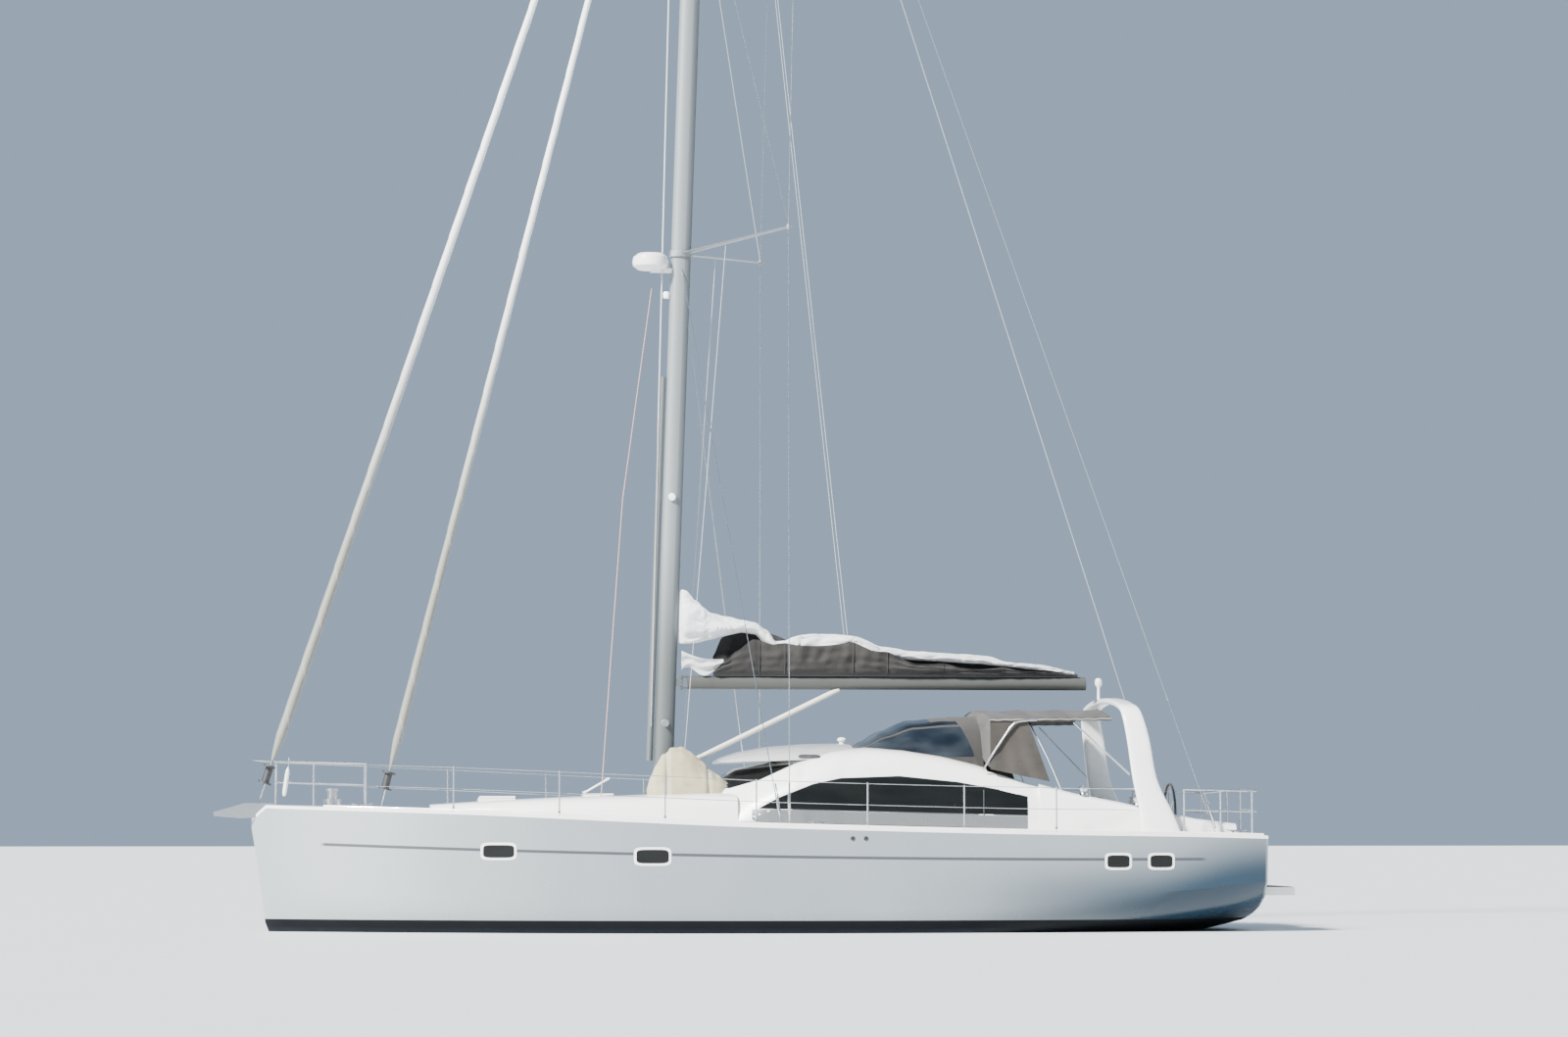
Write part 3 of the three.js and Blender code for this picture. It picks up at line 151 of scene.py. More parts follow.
class Finish:
    """A material, made by short calls."""

    def __init__(self, name, colour, roughness, metallic=0.0, coat=0.0):
        self.material = bpy.data.materials.new(name)
        self.material.use_nodes = True
        self.tree = self.material.node_tree
        self.surface = self.tree.nodes["Principled BSDF"]
        self.places = {}
        self.give("Base Color", (*colour, 1))
        self.give("Roughness", roughness)
        self.give("Metallic", metallic)
        self.give("Coat Weight", coat)

    def plug(self, socket, value):
        if isinstance(value, Wire):
            self.tree.links.new(value.socket, socket)
        else:
            socket.default_value = value

    def give(self, name, value):
        self.plug(self.surface.inputs[name], value)

    def node(self, kind, settings, sockets, output=0):
        made = self.tree.nodes.new("ShaderNode" + kind)
        for name, value in settings.items():
            setattr(made, name, value)
        for name, value in sockets.items():
            self.plug(made.inputs[name], value)
        return Wire(self, made.outputs[output])

    def maths(self, operation, *values):
        return self.node("Math", {"operation": operation}, dict(enumerate(values)))

    def place(self, kind="Object"):
        """The surface's own coordinates: Object or UV."""
        if kind not in self.places:
            self.places[kind] = self.node("TexCoord", {}, {}, kind)
        return self.places[kind]

    def axis(self, letter, kind="Object"):
        return self.node("SeparateXYZ", {}, {"Vector": self.place(kind)}, letter)

    def cloud(self, scale, stretch=(1, 1, 1), detail=4):
        """Soft noise from 0 to 1, scale lumps to a metre."""
        wide = self.node("Mapping", {}, {"Vector": self.place(), "Scale": stretch})
        return self.node("TexNoise", {}, {"Vector": wide, "Scale": scale, "Detail": detail})

    def between(self, value, low, high):
        """0 below low, 1 above high, and smooth in between."""
        sockets = {"Value": value, "From Min": low, "From Max": high}
        return self.node("MapRange", {"interpolation_type": "SMOOTHSTEP"}, sockets)

    def mix(self, share, first, second):
        """The first colour where share is 0, and the second where it is 1."""
        first, second = [c if isinstance(c, Wire) else (*c, 1) for c in (first, second)]
        return self.node("Mix", {"data_type": "RGBA"}, {0: share, 6: first, 7: second}, 2)

    def relief(self, height, depth):
        """Bumps of a depth in metres where height goes from 0 to 1."""
        sockets = {"Height": height, "Distance": depth, "Strength": 1.0}
        self.give("Normal", self.node("Bump", {}, sockets))


# %% [markdown]
# ## Hull paint
# The topsides are sprayed a pale silver with a clear coat. A thin grey line follows the sheer, a
# dark boot top meets the water, and below it comes matt bottom paint. All of these are bands of
# height and length, so the paint can work them out from the hull's own coordinates. Light thrown
# up by the water leaves soft clouds on real topsides, and a faint mottle stands in for it. Low down
# and aft the topsides turn under and mirror dark water, so the paint is shaded bluer there.

# %% Silver paint with its lines
SILVER, LINE_GREY = (0.215, 0.25, 0.275), (0.05, 0.058, 0.066)
BOTTOM_PAINT, BOOT_TOP = (0.010, 0.015, 0.023), (0.002, 0.003, 0.005)
BOOT_HEIGHT = 0.185
LINE_ENDS = (-6.30, 6.52)
LINE_HEIGHT = (1.0995, 0.0165, 0.00155)  # at x = 0, and its slope and curve along the yacht
CLOUDED, BOW_PAINTED_LIGHT, SEA_BLUE = (0.34, 0.375, 0.39), (0.42, 0.46, 0.455), (0.009, 0.027, 0.047)


def silver_paint():
    paint = Finish("silver_paint", SILVER, 0.3, metallic=0.25, coat=0.8)
    x, z = paint.axis("X"), paint.axis("Z")
    height, slope, curve = LINE_HEIGHT
    stripe = abs(z - (x * slope + x * x * curve + height))
    along = paint.between(x, LINE_ENDS[0], LINE_ENDS[0] + 0.1)
    along = along * (1 - paint.between(x, LINE_ENDS[1] - 0.1, LINE_ENDS[1]))
    line = (1 - paint.between(stripe, 0.018, 0.024)) * along
    water_light = paint.cloud(0.9, (1, 1, 0.55), 3)
    colour = paint.mix(water_light * 0.5, SILVER, CLOUDED)
    # Towards the bow the silver is painted lighter: painted light where the topsides face the sun.
    forward = paint.between(x, 1.0, 7.4)
    colour = paint.mix(forward * 0.6, colour, BOW_PAINTED_LIGHT)
    level = z - (1 - paint.between(x, -7.2, -5.2)) * 0.4
    sea_shade = (1 - paint.between(x, -6.0, -1.4)) * (1 - paint.between(level, 0.42, 1.32))
    sea_shade = sea_shade * paint.between(x, -7.21, -7.17)
    colour = paint.mix(sea_shade * 0.98, colour, SEA_BLUE)
    colour = paint.mix(line, colour, LINE_GREY)
    wet = 1 - paint.between(z, BOOT_HEIGHT - 0.004, BOOT_HEIGHT + 0.004)
    deep = 1 - paint.between(z, 0.03, 0.09)
    bottom = paint.mix(deep * paint.cloud(6, detail=8), BOOT_TOP, BOTTOM_PAINT)
    paint.give("Base Color", paint.mix(wet, colour, bottom))
    paint.give("Roughness", paint.cloud(3) * 0.12 + 0.2 + wet * 0.68)
    paint.give("Metallic", (1 - wet) * (1 - sea_shade) * 0.25)
    paint.give("Coat Weight", (1 - wet) * (1 - sea_shade * 0.75) * 0.8)
    paint.give("Specular IOR Level", 0.25)
    paint.relief(paint.cloud(260, detail=2) * wet, 0.0006)
    return paint.material


HULL_PAINT = silver_paint()
print("hull paint ready")

# %% [markdown]
# ## White gelcoat and deck grip
# Gelcoat is a thick polished resin: white, slightly warm, glossy, with a barely visible ripple
# from the mould. Where feet go, the mould has a fine diamond grain in light grey, for a firm step.


# %% Gelcoat finishes
def gelcoat(name, colour, gloss=0.7):
    coat = Finish(name, colour, 0.28, coat=gloss)
    dust = coat.cloud(2.4, (1, 1, 1.6), 6)
    coat.give("Base Color", coat.mix(dust * 0.35, colour, [c * 0.86 for c in colour]))
    coat.give("Roughness", coat.cloud(5) * 0.16 + 0.2)
    coat.relief(coat.cloud(2.2, detail=2), 0.0012)
    return coat.material


def deck_grip():
    grip = Finish("deck_grip", (0.60, 0.62, 0.63), 0.62)
    x, y = grip.axis("X"), grip.axis("Y")
    ridges = (abs((x + y) * 60 % 1 - 0.5) + abs((x - y) * 60 % 1 - 0.5)) * 1.1
    wear_and_painted_reflection = grip.cloud(1.7, detail=8)
    grip.give("Base Color", grip.mix(wear_and_painted_reflection * 0.6, (0.64, 0.66, 0.67), (0.47, 0.49, 0.50)))
    grip.relief(ridges, 0.0015)
    return grip.material


GELCOAT = gelcoat("white_gelcoat", (0.88, 0.88, 0.86))
# A grey that paints the shade on the wall under the side windows.
PAINTED_SHADE_GREY = gelcoat("painted_shade_grey", (0.125, 0.135, 0.140), 0.3)
VISOR_WHITE = gelcoat("visor_gelcoat", (0.41, 0.415, 0.41), 0.5)
GRIP = deck_grip()

# %% [markdown]
# ## Glass, vinyl and metals
# The side windows are smoked acrylic, which looks almost black by day and mirrors the sky. The
# sprayhood's windows are clear vinyl, so they let the back of the hood show through. Stainless
# tube is polished, with fine marks along it. Spars are painted or anodised aluminium, and duller.


# %% Glass and vinyl
def smoked_glass():
    glass = Finish("dark_glass", (0.004, 0.005, 0.006), 0.09)
    haze = glass.cloud(1.3, (1, 1, 3), 3)
    glass.give("Base Color", glass.mix(haze, (0.002, 0.003, 0.003), (0.011, 0.012, 0.012)))
    glass.give("Roughness", glass.cloud(9) * 0.06 + 0.05)
    glass.give("Specular IOR Level", 0.2)
    return glass.material


def clear_vinyl():
    vinyl = Finish("hood_window", (0.03, 0.04, 0.05), 0.16, coat=0.1)
    crease = vinyl.cloud(1.6, (1, 1, 2), 2)
    streak = vinyl.between(crease, 0.25, 0.95)
    vinyl.give("Base Color", vinyl.mix(streak, (0.004, 0.007, 0.012), (0.040, 0.050, 0.060)))
    vinyl.give("Alpha", streak * 0.06 + 0.84)
    vinyl.give("Specular IOR Level", 0.3)
    vinyl.relief(vinyl.cloud(4, detail=3), 0.01)
    return vinyl.material


# %% Metals and plastic
def metal(name, colour, roughness, metallic, marks):
    """marks stretches the fine scratches along X, Y or Z."""
    made = Finish(name, colour, roughness, metallic)
    scratch = made.cloud(30, marks, 3)
    made.give("Base Color", made.mix(scratch * 0.5, colour, [c * 0.72 for c in colour]))
    made.give("Roughness", scratch * 0.18 + roughness)
    made.relief(scratch, 0.0002)
    return made.material


MAST_FOOT_X, MAST_FOOT_Z, MAST_RAKE = 1.48, 2.01, 0.0328


def mast_alloy():
    """Anodised alloy, with a painted reflection of dark surroundings low down, and a darker aft
    part that is partly the sail track and partly painted shade.
    """
    made = Finish("mast_alloy", (0.23, 0.25, 0.255), 0.36, 0.3)
    x, z = made.axis("X"), made.axis("Z")
    scratch = made.cloud(30, (1, 1, 0.03), 3)
    colour = made.mix(scratch * 0.5, (0.25, 0.275, 0.285), (0.18, 0.20, 0.205))
    # Low down the alloy is painted darker: a painted reflection of the dark surroundings.
    wear_and_painted_reflection = (1 - made.between(z, 3.6, 6.0)) * 0.8
    # The aft part is darker, partly for the grey sail track and partly as painted shade on the side
    # turned from the sun.
    track = 1 - made.between(x + z * MAST_RAKE, 1.478, 1.492)
    colour = made.mix(wear_and_painted_reflection, colour, (0.075, 0.085, 0.082))
    made.give("Base Color", made.mix(track * 0.35, colour, (0.07, 0.085, 0.095)))
    made.give("Roughness", scratch * 0.18 + 0.36)
    made.relief(scratch, 0.0002)
    return made.material


def moulded(name, colour, roughness):
    made = Finish(name, colour, roughness)
    grain = made.cloud(420, detail=2)
    made.give("Base Color", made.mix(made.cloud(4), colour, [c * 1.5 + 0.01 for c in colour]))
    made.relief(grain, 0.0003)
    return made.material


GLASS, VINYL = smoked_glass(), clear_vinyl()
STEEL = metal("stainless", (0.62, 0.63, 0.64), 0.14, 1.0, (0.2, 0.2, 1))
POLE_GREY = metal("white_alloy", (0.15, 0.165, 0.165), 0.36, 0.3, (1, 1, 0.03))
MAST_PAINT = mast_alloy()
VANG_CREAM = metal("vang_alloy", (0.66, 0.65, 0.57), 0.4, 0.0, (0.1, 1, 0.1))
BOOM_GREY = metal("boom_alloy", (0.074, 0.077, 0.070), 0.4, 0.3, (0.03, 1, 1))
SPAR_GREY = metal("grey_alloy", (0.30, 0.32, 0.34), 0.38, 0.7, (1, 1, 0.05))
BRONZE = metal("bronze", (0.50, 0.30, 0.13), 0.3, 1.0, (1, 1, 1))
PLASTIC = moulded("black_plastic", (0.02, 0.02, 0.022), 0.45)
LEATHER = moulded("helm_leather", (0.045, 0.038, 0.033), 0.62)
ZINC = metal("zinc", (0.42, 0.43, 0.44), 0.5, 0.6, (1, 1, 1))
LENS = moulded("lamp_lens", (0.80, 0.82, 0.82), 0.2)
print("hard finishes ready")

# %% [markdown]
# ## Cloth, rope and teak
# Acrylic canvas has a plain weave, a faded top and painted shade in its folds. Sailcloth is
# smoother and crisper.
# A rope's lay is a spiral, which the coordinates along and round it can draw. Teak decks are narrow
# planks with black caulking between them, sun bleached to a silvery brown.

# %% Cloth finishes
WEAVE = 700  # how finely the threads repeat over a sheet's whole width


def canvas(name, colour, faded, stain_and_fold_shade=0.4):
    cloth = Finish(name, colour, 0.85)
    u, v = cloth.axis("X", "UV"), cloth.axis("Y", "UV")
    threads = cloth.maths("SINE", u * WEAVE) * cloth.maths("SINE", v * WEAVE)
    blotch = cloth.cloud(1.6, detail=7)
    shade = cloth.mix(cloth.between(blotch, 0.3, 0.75), colour, faded)
    # Streaks of a darker copy of the colour are painted shade in the cloth's folds.
    dark = cloth.between(cloth.cloud(4.5, (1, 1, 2.5), 6), 0.52, 0.72) * stain_and_fold_shade
    cloth.give("Base Color", cloth.mix(dark, shade, [c * 0.45 for c in colour]))
    cloth.give("Roughness", blotch * 0.2 + 0.72)
    cloth.relief(threads * 0.25 + cloth.cloud(14, detail=6), 0.006)
    cloth.give("Sheen Weight", 0.15)
    return cloth.material


def rolled_sail():
    """Sailcloth wound round a stay, whose edge climbs it in a spiral."""
    cloth = Finish("rolled_sail", (0.86, 0.87, 0.86), 0.55)
    u, v = cloth.axis("X", "UV"), cloth.axis("Y", "UV")
    turn = (u + v) % 1
    edge = 1 - cloth.between(turn, 0.0, 0.07)
    stain_and_fold_shade = cloth.cloud(1.2, (1, 1, 0.4), 5)
    white = cloth.mix(stain_and_fold_shade * 0.5, (0.90, 0.91, 0.90), (0.72, 0.74, 0.74))
    # Low down the roll is painted darker and warmer: painted shade on the lower sail.
    low_painted_shade = 1 - cloth.between(cloth.axis("Z"), 5, 12)
    white = cloth.mix(low_painted_shade * 0.93, white, (0.165, 0.165, 0.135))
    cloth.give("Base Color", cloth.mix(edge * 0.55, white, (0.42, 0.44, 0.46)))
    cloth.relief(turn + cloth.cloud(16) * 0.3, 0.01)
    return cloth.material


TAUPE = canvas("taupe_canvas", (0.0118, 0.0107, 0.0092), (0.0245, 0.022, 0.0188))
CURTAIN_CLOTH = canvas("curtain_canvas", (0.027, 0.023, 0.0185), (0.0505, 0.0432, 0.035))
EDGE_TAPE = canvas("edge_tape", (0.16, 0.15, 0.135), (0.24, 0.225, 0.205))
# Near-black cloth for the bag's inside, painted shade for the shadow in the open bag. The straps
# use it too.
PAINTED_SHADE_LINING = canvas("painted_shade_lining", (0.008, 0.008, 0.009), (0.022, 0.021, 0.021))
CREAM = canvas("cream_canvas", (0.38, 0.34, 0.215), (0.53, 0.485, 0.335), stain_and_fold_shade=0.2)
SAIL = canvas("sailcloth", (0.66, 0.68, 0.70), (0.84, 0.845, 0.84), stain_and_fold_shade=0.2)
ROLLED = rolled_sail()


# %% Rope and teak finishes
def rope(name, colour, fleck):
    line = Finish(name, colour, 0.8)
    x, y, z = line.axis("X"), line.axis("Y"), line.axis("Z")
    strand = (x + y + z) * 45 % 1
    line.give("Base Color", line.mix(line.between(strand, 0.35, 0.65), colour, fleck))
    line.relief(strand, 0.002)
    return line.material


def teak():
    wood = Finish("teak", (0.42, 0.29, 0.17), 0.62)
    across = abs(wood.axis("Y") / 0.052 % 1 - 0.5)
    seam = wood.between(across, 0.43, 0.46)
    grain = wood.cloud(9, (0.6, 14, 1), 6)
    plank = wood.mix(grain, (0.50, 0.37, 0.24), (0.31, 0.20, 0.115))
    bleached = wood.mix(wood.cloud(1.5) * 0.6, plank, (0.50, 0.46, 0.40))
    wood.give("Base Color", wood.mix(seam, bleached, (0.012, 0.012, 0.012)))
    wood.relief(grain * 0.3 + 1 - seam, 0.0015)
    return wood.material


ROPE = rope("white_rope", (0.66, 0.66, 0.63), (0.40, 0.42, 0.46))
RED_ROPE = rope("red_rope", (0.42, 0.06, 0.05), (0.62, 0.58, 0.55))
TEAK = teak()
print("soft finishes ready")

# %% [markdown]
# ## Slots
# The part's record has a few material slots. Each finish made here is listed under one of them.

# %% The slot of each finish
SLOTS = {
    "white_gelcoat": [GELCOAT, PAINTED_SHADE_GREY, GRIP, TEAK, LENS],
    "dark_glass": [GLASS],
    "stainless": [STEEL],
    "grey_alloy": [SPAR_GREY],
    "black_plastic": [PLASTIC, LEATHER],
    "bronze": [ZINC],
    "taupe_canvas": [TAUPE, PAINTED_SHADE_LINING, EDGE_TAPE, CURTAIN_CLOTH],
    "cream_canvas": [CREAM],
    "sailcloth": [SAIL, ROLLED, ROPE, RED_ROPE],
}
SLOT_OF = {finish: slot for slot, finishes in SLOTS.items() for finish in finishes}
print("slots", ", ".join(SLOTS))

# %% [markdown]
# ## Small makers of shape
# A handful of helpers do most of the modelling: a rounded block, a turned shape, a tube along a
# path, and a sheet whose points are moved by a formula. Each starts from a bmesh operator, and
# finished() turns the result into an object that rides on its body.


# %% Shapes to objects
def finished(shape, name, finish, body="yacht", slot=None, angle=38, tidy=True):
    """Makes an object of a bmesh, smooth except at edges sharper than angle."""
    if tidy:
        bmesh.ops.recalc_face_normals(shape, faces=shape.faces[:])
    for face in shape.faces:
        face.smooth = True
    for edge in shape.edges:
        edge.smooth = edge.is_manifold and edge.calc_face_angle(0) < math.radians(angle)
    mesh = bpy.data.meshes.new(name)
    shape.to_mesh(mesh)
    shape.free()
    finishes = finish if isinstance(finish, list) else [finish]
    for material in finishes:
        mesh.materials.append(material)
    piece = bpy.data.objects.new(name, mesh)
    show(piece)
    if body:
        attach(piece, body)
    slot or SLOT_OF[finishes[0]]
    return piece


def fabric(shape, name, finish, body, width, thickness=0.003, **claims):
    """Its flat length is its area over its width."""
    piece_settings = {key: claims.pop(key) for key in ("slot", "angle", "tidy") if key in claims}
    stands_for, joint = claims.pop("stands_for", None), claims.pop("joint", None)
    area = sum(face.calc_area() for face in shape.faces)
    piece = finished(shape, name, finish, body, **{"angle": 70, **piece_settings})
    piece.modifiers.new("cloth", "SOLIDIFY").thickness = thickness
    if joint:
        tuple(joint[0])
        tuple(joint[1])
        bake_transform(piece)
    if stands_for:
        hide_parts(stands_for)
    area / width
    print(name, round(area, 2), "square metres")
    return piece


def merge(shape, distance):
    bmesh.ops.remove_doubles(shape, verts=shape.verts[:], dist=distance)


def add(shape, other):
    """Copies one bmesh into another, and frees it."""
    mesh = bpy.data.meshes.new("part")
    other.to_mesh(mesh)
    other.free()
    shape.from_mesh(mesh)
    bpy.data.meshes.remove(mesh)


def together(shapes):
    """One bmesh made of several."""
    whole = bmesh.new()
    for shape in shapes:
        add(whole, shape)
    return whole


def pair(make):
    """The port and starboard shapes that make(side) gives, as one."""
    return together(make(side) for side in (1, -1))


# %% Block, turned shape, tube and sheet
def block(low, high, bevel=0.01, segments=3):
    """A box with rounded edges. Its corners may come in either order."""
    shape = bmesh.new()
    bmesh.ops.create_cube(shape, size=1)
    bmesh.ops.scale(shape, vec=[abs(h - l) for l, h in zip(low, high)], verts=shape.verts[:])
    middle = [(h + l) / 2 for l, h in zip(low, high)]
    bmesh.ops.translate(shape, vec=middle, verts=shape.verts[:])
    rounding = {"affect": "EDGES", "segments": segments, "profile": 0.5, "material": -1}
    bmesh.ops.bevel(shape, geom=shape.edges[:], offset=bevel, clamp_overlap=True, **rounding)
    return shape


def turned(profile, centre, along=(0, 0, 1), sides=24):
    """Spins (radius, height) pairs about a line through centre."""
    shape = bmesh.new()
    points = [shape.verts.new((radius, 0, height)) for radius, height in profile]
    edges = [shape.edges.new(pair) for pair in zip(points, points[1:])]
    whole = {"cent": (0, 0, 0), "axis": (0, 0, 1), "angle": math.tau, "use_merge": True}
    bmesh.ops.spin(shape, geom=points + edges, steps=sides, **whole)
    merge(shape, 0.00005)
    turn = Vector(along).to_track_quat("Z", "Y").to_matrix().to_4x4()
    place = Matrix.Translation(centre) @ turn
    bmesh.ops.transform(shape, matrix=place, verts=shape.verts[:])
    return shape


def tube(path, radius, sides=10, closed=False, shape=None):
    """A round tube along a path. radius is one number, or one for each point."""
    shape = shape or bmesh.new()
    path = [Vector(point) for point in path]
    count = len(path)
    rings = []
    for i, point in enumerate(path):
        before = path[i - 1] if i or closed else path[0]
        after = path[(i + 1) % count] if i < count - 1 or closed else path[-1]
        turn = (after - before).to_track_quat("Z", "Y").to_matrix().to_4x4()
        size = radius[i] if isinstance(radius, (list, tuple)) else radius
        place = {"matrix": Matrix.Translation(point) @ turn, "cap_ends": False}
        ring = bmesh.ops.create_circle(shape, segments=sides, radius=size, **place)
        rings.append(list({edge for vert in ring["verts"] for edge in vert.link_edges}))
    pairs = list(zip(rings, rings[1:])) + ([(rings[-1], rings[0])] if closed else [])
    for first, second in pairs:
        bmesh.ops.bridge_loops(shape, edges=first + second)
    if not closed:
        for ring in (rings[0], rings[-1]):
            bmesh.ops.edgeloop_fill(shape, edges=ring)
    return shape


def sheet(columns, rows, place):
    """A grid moved by place(u, v), with u across it and v along it from 0 to 1."""
    shape = bmesh.new()
    shape.loops.layers.uv.new("UVMap")
    size = {"x_segments": columns, "y_segments": rows, "size": 0.5}
    bmesh.ops.create_grid(shape, calc_uvs=True, **size)
    for vert in shape.verts:
        vert.co = place(vert.co.x + 0.5, vert.co.y + 0.5)
    return shape


def closed_sheet(columns, rows, place, seam=0.0004):
    """A sheet whose meeting edges become one."""
    shape = sheet(columns, rows, place)
    merge(shape, seam)
    return shape


# %% [markdown]
# ## Tables and surfaces to stand on
# Shapes that vary along the yacht are tables of a length and a few sizes, read with a smooth blend
# between the rows. What stands on the deck or the hull's side asks the frame where that surface is,
# with a ray, so nothing floats and nothing sinks in.


# %% Reading tables and casting rays
def row_at(table, x):
    """The table's other columns at x, blended smoothly. Its rows run up or down in x."""
    rows = sorted(table)
    x = min(max(x, rows[0][0]), rows[-1][0])
    for low, high in zip(rows, rows[1:]):
        if x <= high[0]:
            share = (x - low[0]) / (high[0] - low[0])
            share = share * share * (3 - 2 * share) * 0.5 + share * 0.5
            return [a + (b - a) * share for a, b in zip(low[1:], high[1:])]
    return list(rows[-1][1:])


def surface(*names):
    shape = bmesh.new()
    for name in names:
        shape.from_mesh(NODES[name].data)
    made = BVHTree.FromBMesh(shape)
    shape.free()
    return made


DECK = surface("deck", "coachroof", "hull")
HOUSE = surface("deckhouse", "side_window_port", "side_window_starboard")
HULL = surface("hull")
COAMING = surface("coaming_port", "coaming_starboard")
VISOR = surface("visor", "deckhouse")


def top(where, x, y, start=4.0):
    """The height of a surface under a point, or 0 where there is none."""
    hit = where.ray_cast(Vector((x, y, start)), Vector((0, 0, -1)))[0]
    return hit.z if hit else 0.0


def flank(where, x, z, side):
    """How far out a surface stands at a length and height. A ray that slips past an edge or
    through a joint is cast again close by."""
    for lift in (0, 0.012, -0.012, 0.03, 0.06):
        hit = where.ray_cast(Vector((x, side * 5, z + lift)), Vector((0, -side, 0)))[0]
        if hit and hit.y * side > 0:
            return hit.y
    return 0.0


def on_flank(where, x, z, side, stand):
    """A point that stands a little off a surface's side."""
    return Vector((x, flank(where, x, z, side) + side * stand, z))


print("deck at the mast", round(top(DECK, 1.3, 0.0), 3))

# %% [markdown]
# ## Skins for the solids
# The solids' shapes are right but their faces are flat triangles, which would show as facets in
# glossy paint. A merged copy shades them smooth, keeps the real edges crisp, and takes the finish.

# %% Skin maker
CRISP_ANGLE = 32  # an edge of a solid sharper than this, in degrees, stays crisp


def skin(node, finish, body="yacht", second=None):
    """A smooth copy of a node, which stands for it. second picks the faces of a second finish."""
    shape = bmesh.new()
    shape.from_mesh(NODES[node].data)
    merge(shape, 0.0002)
    for face in shape.faces:
        face.material_index = 1 if second and second(face.calc_center_median()) else 0
    slot = NODES[node].data.materials[0].name
    piece = finished(shape, node + "_skin", finish, body, slot, CRISP_ANGLE, tidy=False)
    even = piece.modifiers.new("even", "WEIGHTED_NORMAL")
    even.keep_sharp = True
    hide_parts(node)


# %% Hull, painted outside and moulded inside
WELLS = [  # lowest and highest corners of the cockpit, the passage aft and the saloon
    ((-6.551, -1.451, 0.849), (-3.149, 1.451, 3)),
    ((-7.20, -0.381, 0.999), (-6.549, 0.381, 3)),
    ((-3.051, -1.251, 0.599), (0.451, 1.251, 3)),
]


def in_a_well(point):
    return any(
        all(low[i] <= point[i] <= high[i] for i in range(3)) for low, high in WELLS
    )


skin("hull", [HULL_PAINT, GELCOAT], second=in_a_well)
print("hull skin ready")

# %% Skins of the deck, house and spars
FIXED_SKINS = [
    (GELCOAT, "deck coachroof deckhouse coaming_port coaming_starboard"),
    (VISOR_WHITE, "visor"),
    (GELCOAT, "radome pedestal_port pedestal_starboard"),
    (GLASS, "side_window_port side_window_starboard windshield"),
    (MAST_PAINT, "mast"),
    (SPAR_GREY, "masthead_crane lower_spreaders upper_spreaders"),
    (POLE_GREY, "whisker_pole"),
    (HULL_PAINT, "keel"),
    (BRONZE, "shaft_bracket"),
    (STEEL, "bimini_hoop bow_roller windlass inner_stay_link"),
]
for finish, nodes in FIXED_SKINS:
    for node in nodes.split():
        skin(node, finish)
WIRES_AND_RAILS = ("pulpit", "guard_rail", "pushpit", "cap_shroud", "lower_shroud", "backstay")
for start in WIRES_AND_RAILS:
    for node in NODES:
        if node.startswith(start):
            skin(node, STEEL)
print("fixed skins ready")

# %% Skins of the moving bodies
MOVING_SKINS = {  # node: its body and its finish
    "boom": ("boom", BOOM_GREY),
    "vang": ("boom", VANG_CREAM),
    "rudder": ("rudder", HULL_PAINT),
    "propeller": ("propeller", BRONZE),
    "bathing_platform": ("bathing_platform", GELCOAT),
    "saloon_hatch": ("saloon_hatch", GELCOAT),
    "forward_hatch": ("forward_hatch", GELCOAT),
    "companionway_hatch": ("companionway_hatch", GLASS),
    "wheel_port": ("wheel_port", STEEL),
    "wheel_starboard": ("wheel_starboard", STEEL),
    "outer_furler_drum": ("outer_furler", PLASTIC),
    "inner_furler_drum": ("inner_furler", PLASTIC),
}
for node, (body, finish) in MOVING_SKINS.items():
    skin(node, finish, body)
print(len(MOVING_SKINS), "moving skins")

# %% [markdown]
# ## Grip panels and teak
# The deck mould has grip panels with smooth margins between them, and the cockpit is laid with
# teak. Each panel is a thin sheet dropped onto the deck by ray, so it follows the camber.

# %% Deck panels
SHEER = [  # x, half width of the deck's edge
    (-7.215, 1.885), (-6.66, 1.98), (-5.0, 2.165), (-4.0, 2.235), (-2.7, 2.29), (-1.3, 2.30),
    (0.0, 2.285), (1.5, 2.185), (3.0, 1.975), (4.2, 1.70), (5.2, 1.39), (6.0, 1.06), (6.6, 0.76),
]
HOUSE_SIDE = [  # x, half width of the house at the deck
    (-6.8, 1.64), (-5.7, 1.725), (-3.9, 1.64), (-1.4, 1.575), (-0.1, 1.49), (0.42, 1.39),
    (1.0, 1.34), (2.0, 1.235), (3.0, 1.055), (4.0, 0.805), (4.9, 0.50), (5.05, 0.02), (7, 0.02),
]
PANEL_LIFT = 0.003
SIDE_DECK = [(-6.5, -5.3), (-5.15, -3.95), (-3.8, -2.1), (-1.95, -0.3), (-0.15, 1.3)]
FOREDECK = [(1.45, 2.9), (3.05, 4.4), (4.55, 5.9)]


def panel(x0, x1, inner, outer, side, start=4.0):
    """A sheet on the deck between two lengths and two side lines."""

    def place(u, v):
        x = x0 + (x1 - x0) * v
        corner = 0.05 * (abs(2 * v - 1) ** 14)
        low, high = inner(x) + corner, outer(x) - corner
        y = side * (low + (high - low) * u)
        return Vector((x, y, top(DECK, x, y, start) + PANEL_LIFT))

    return sheet(10, 24, place)


def grip_panels(lengths, house_margin, edge_margin):
    gap = (lambda x: row_at(HOUSE_SIDE, x)[0] + house_margin,
           lambda x: row_at(SHEER, x)[0] - edge_margin)
    return together(panel(*length, *gap, side) for length in lengths for side in (1, -1))


grips = together([grip_panels(SIDE_DECK, 0.07, 0.17), grip_panels(FOREDECK, 0.06, 0.15)])
finished(grips, "deck_grips", GRIP)

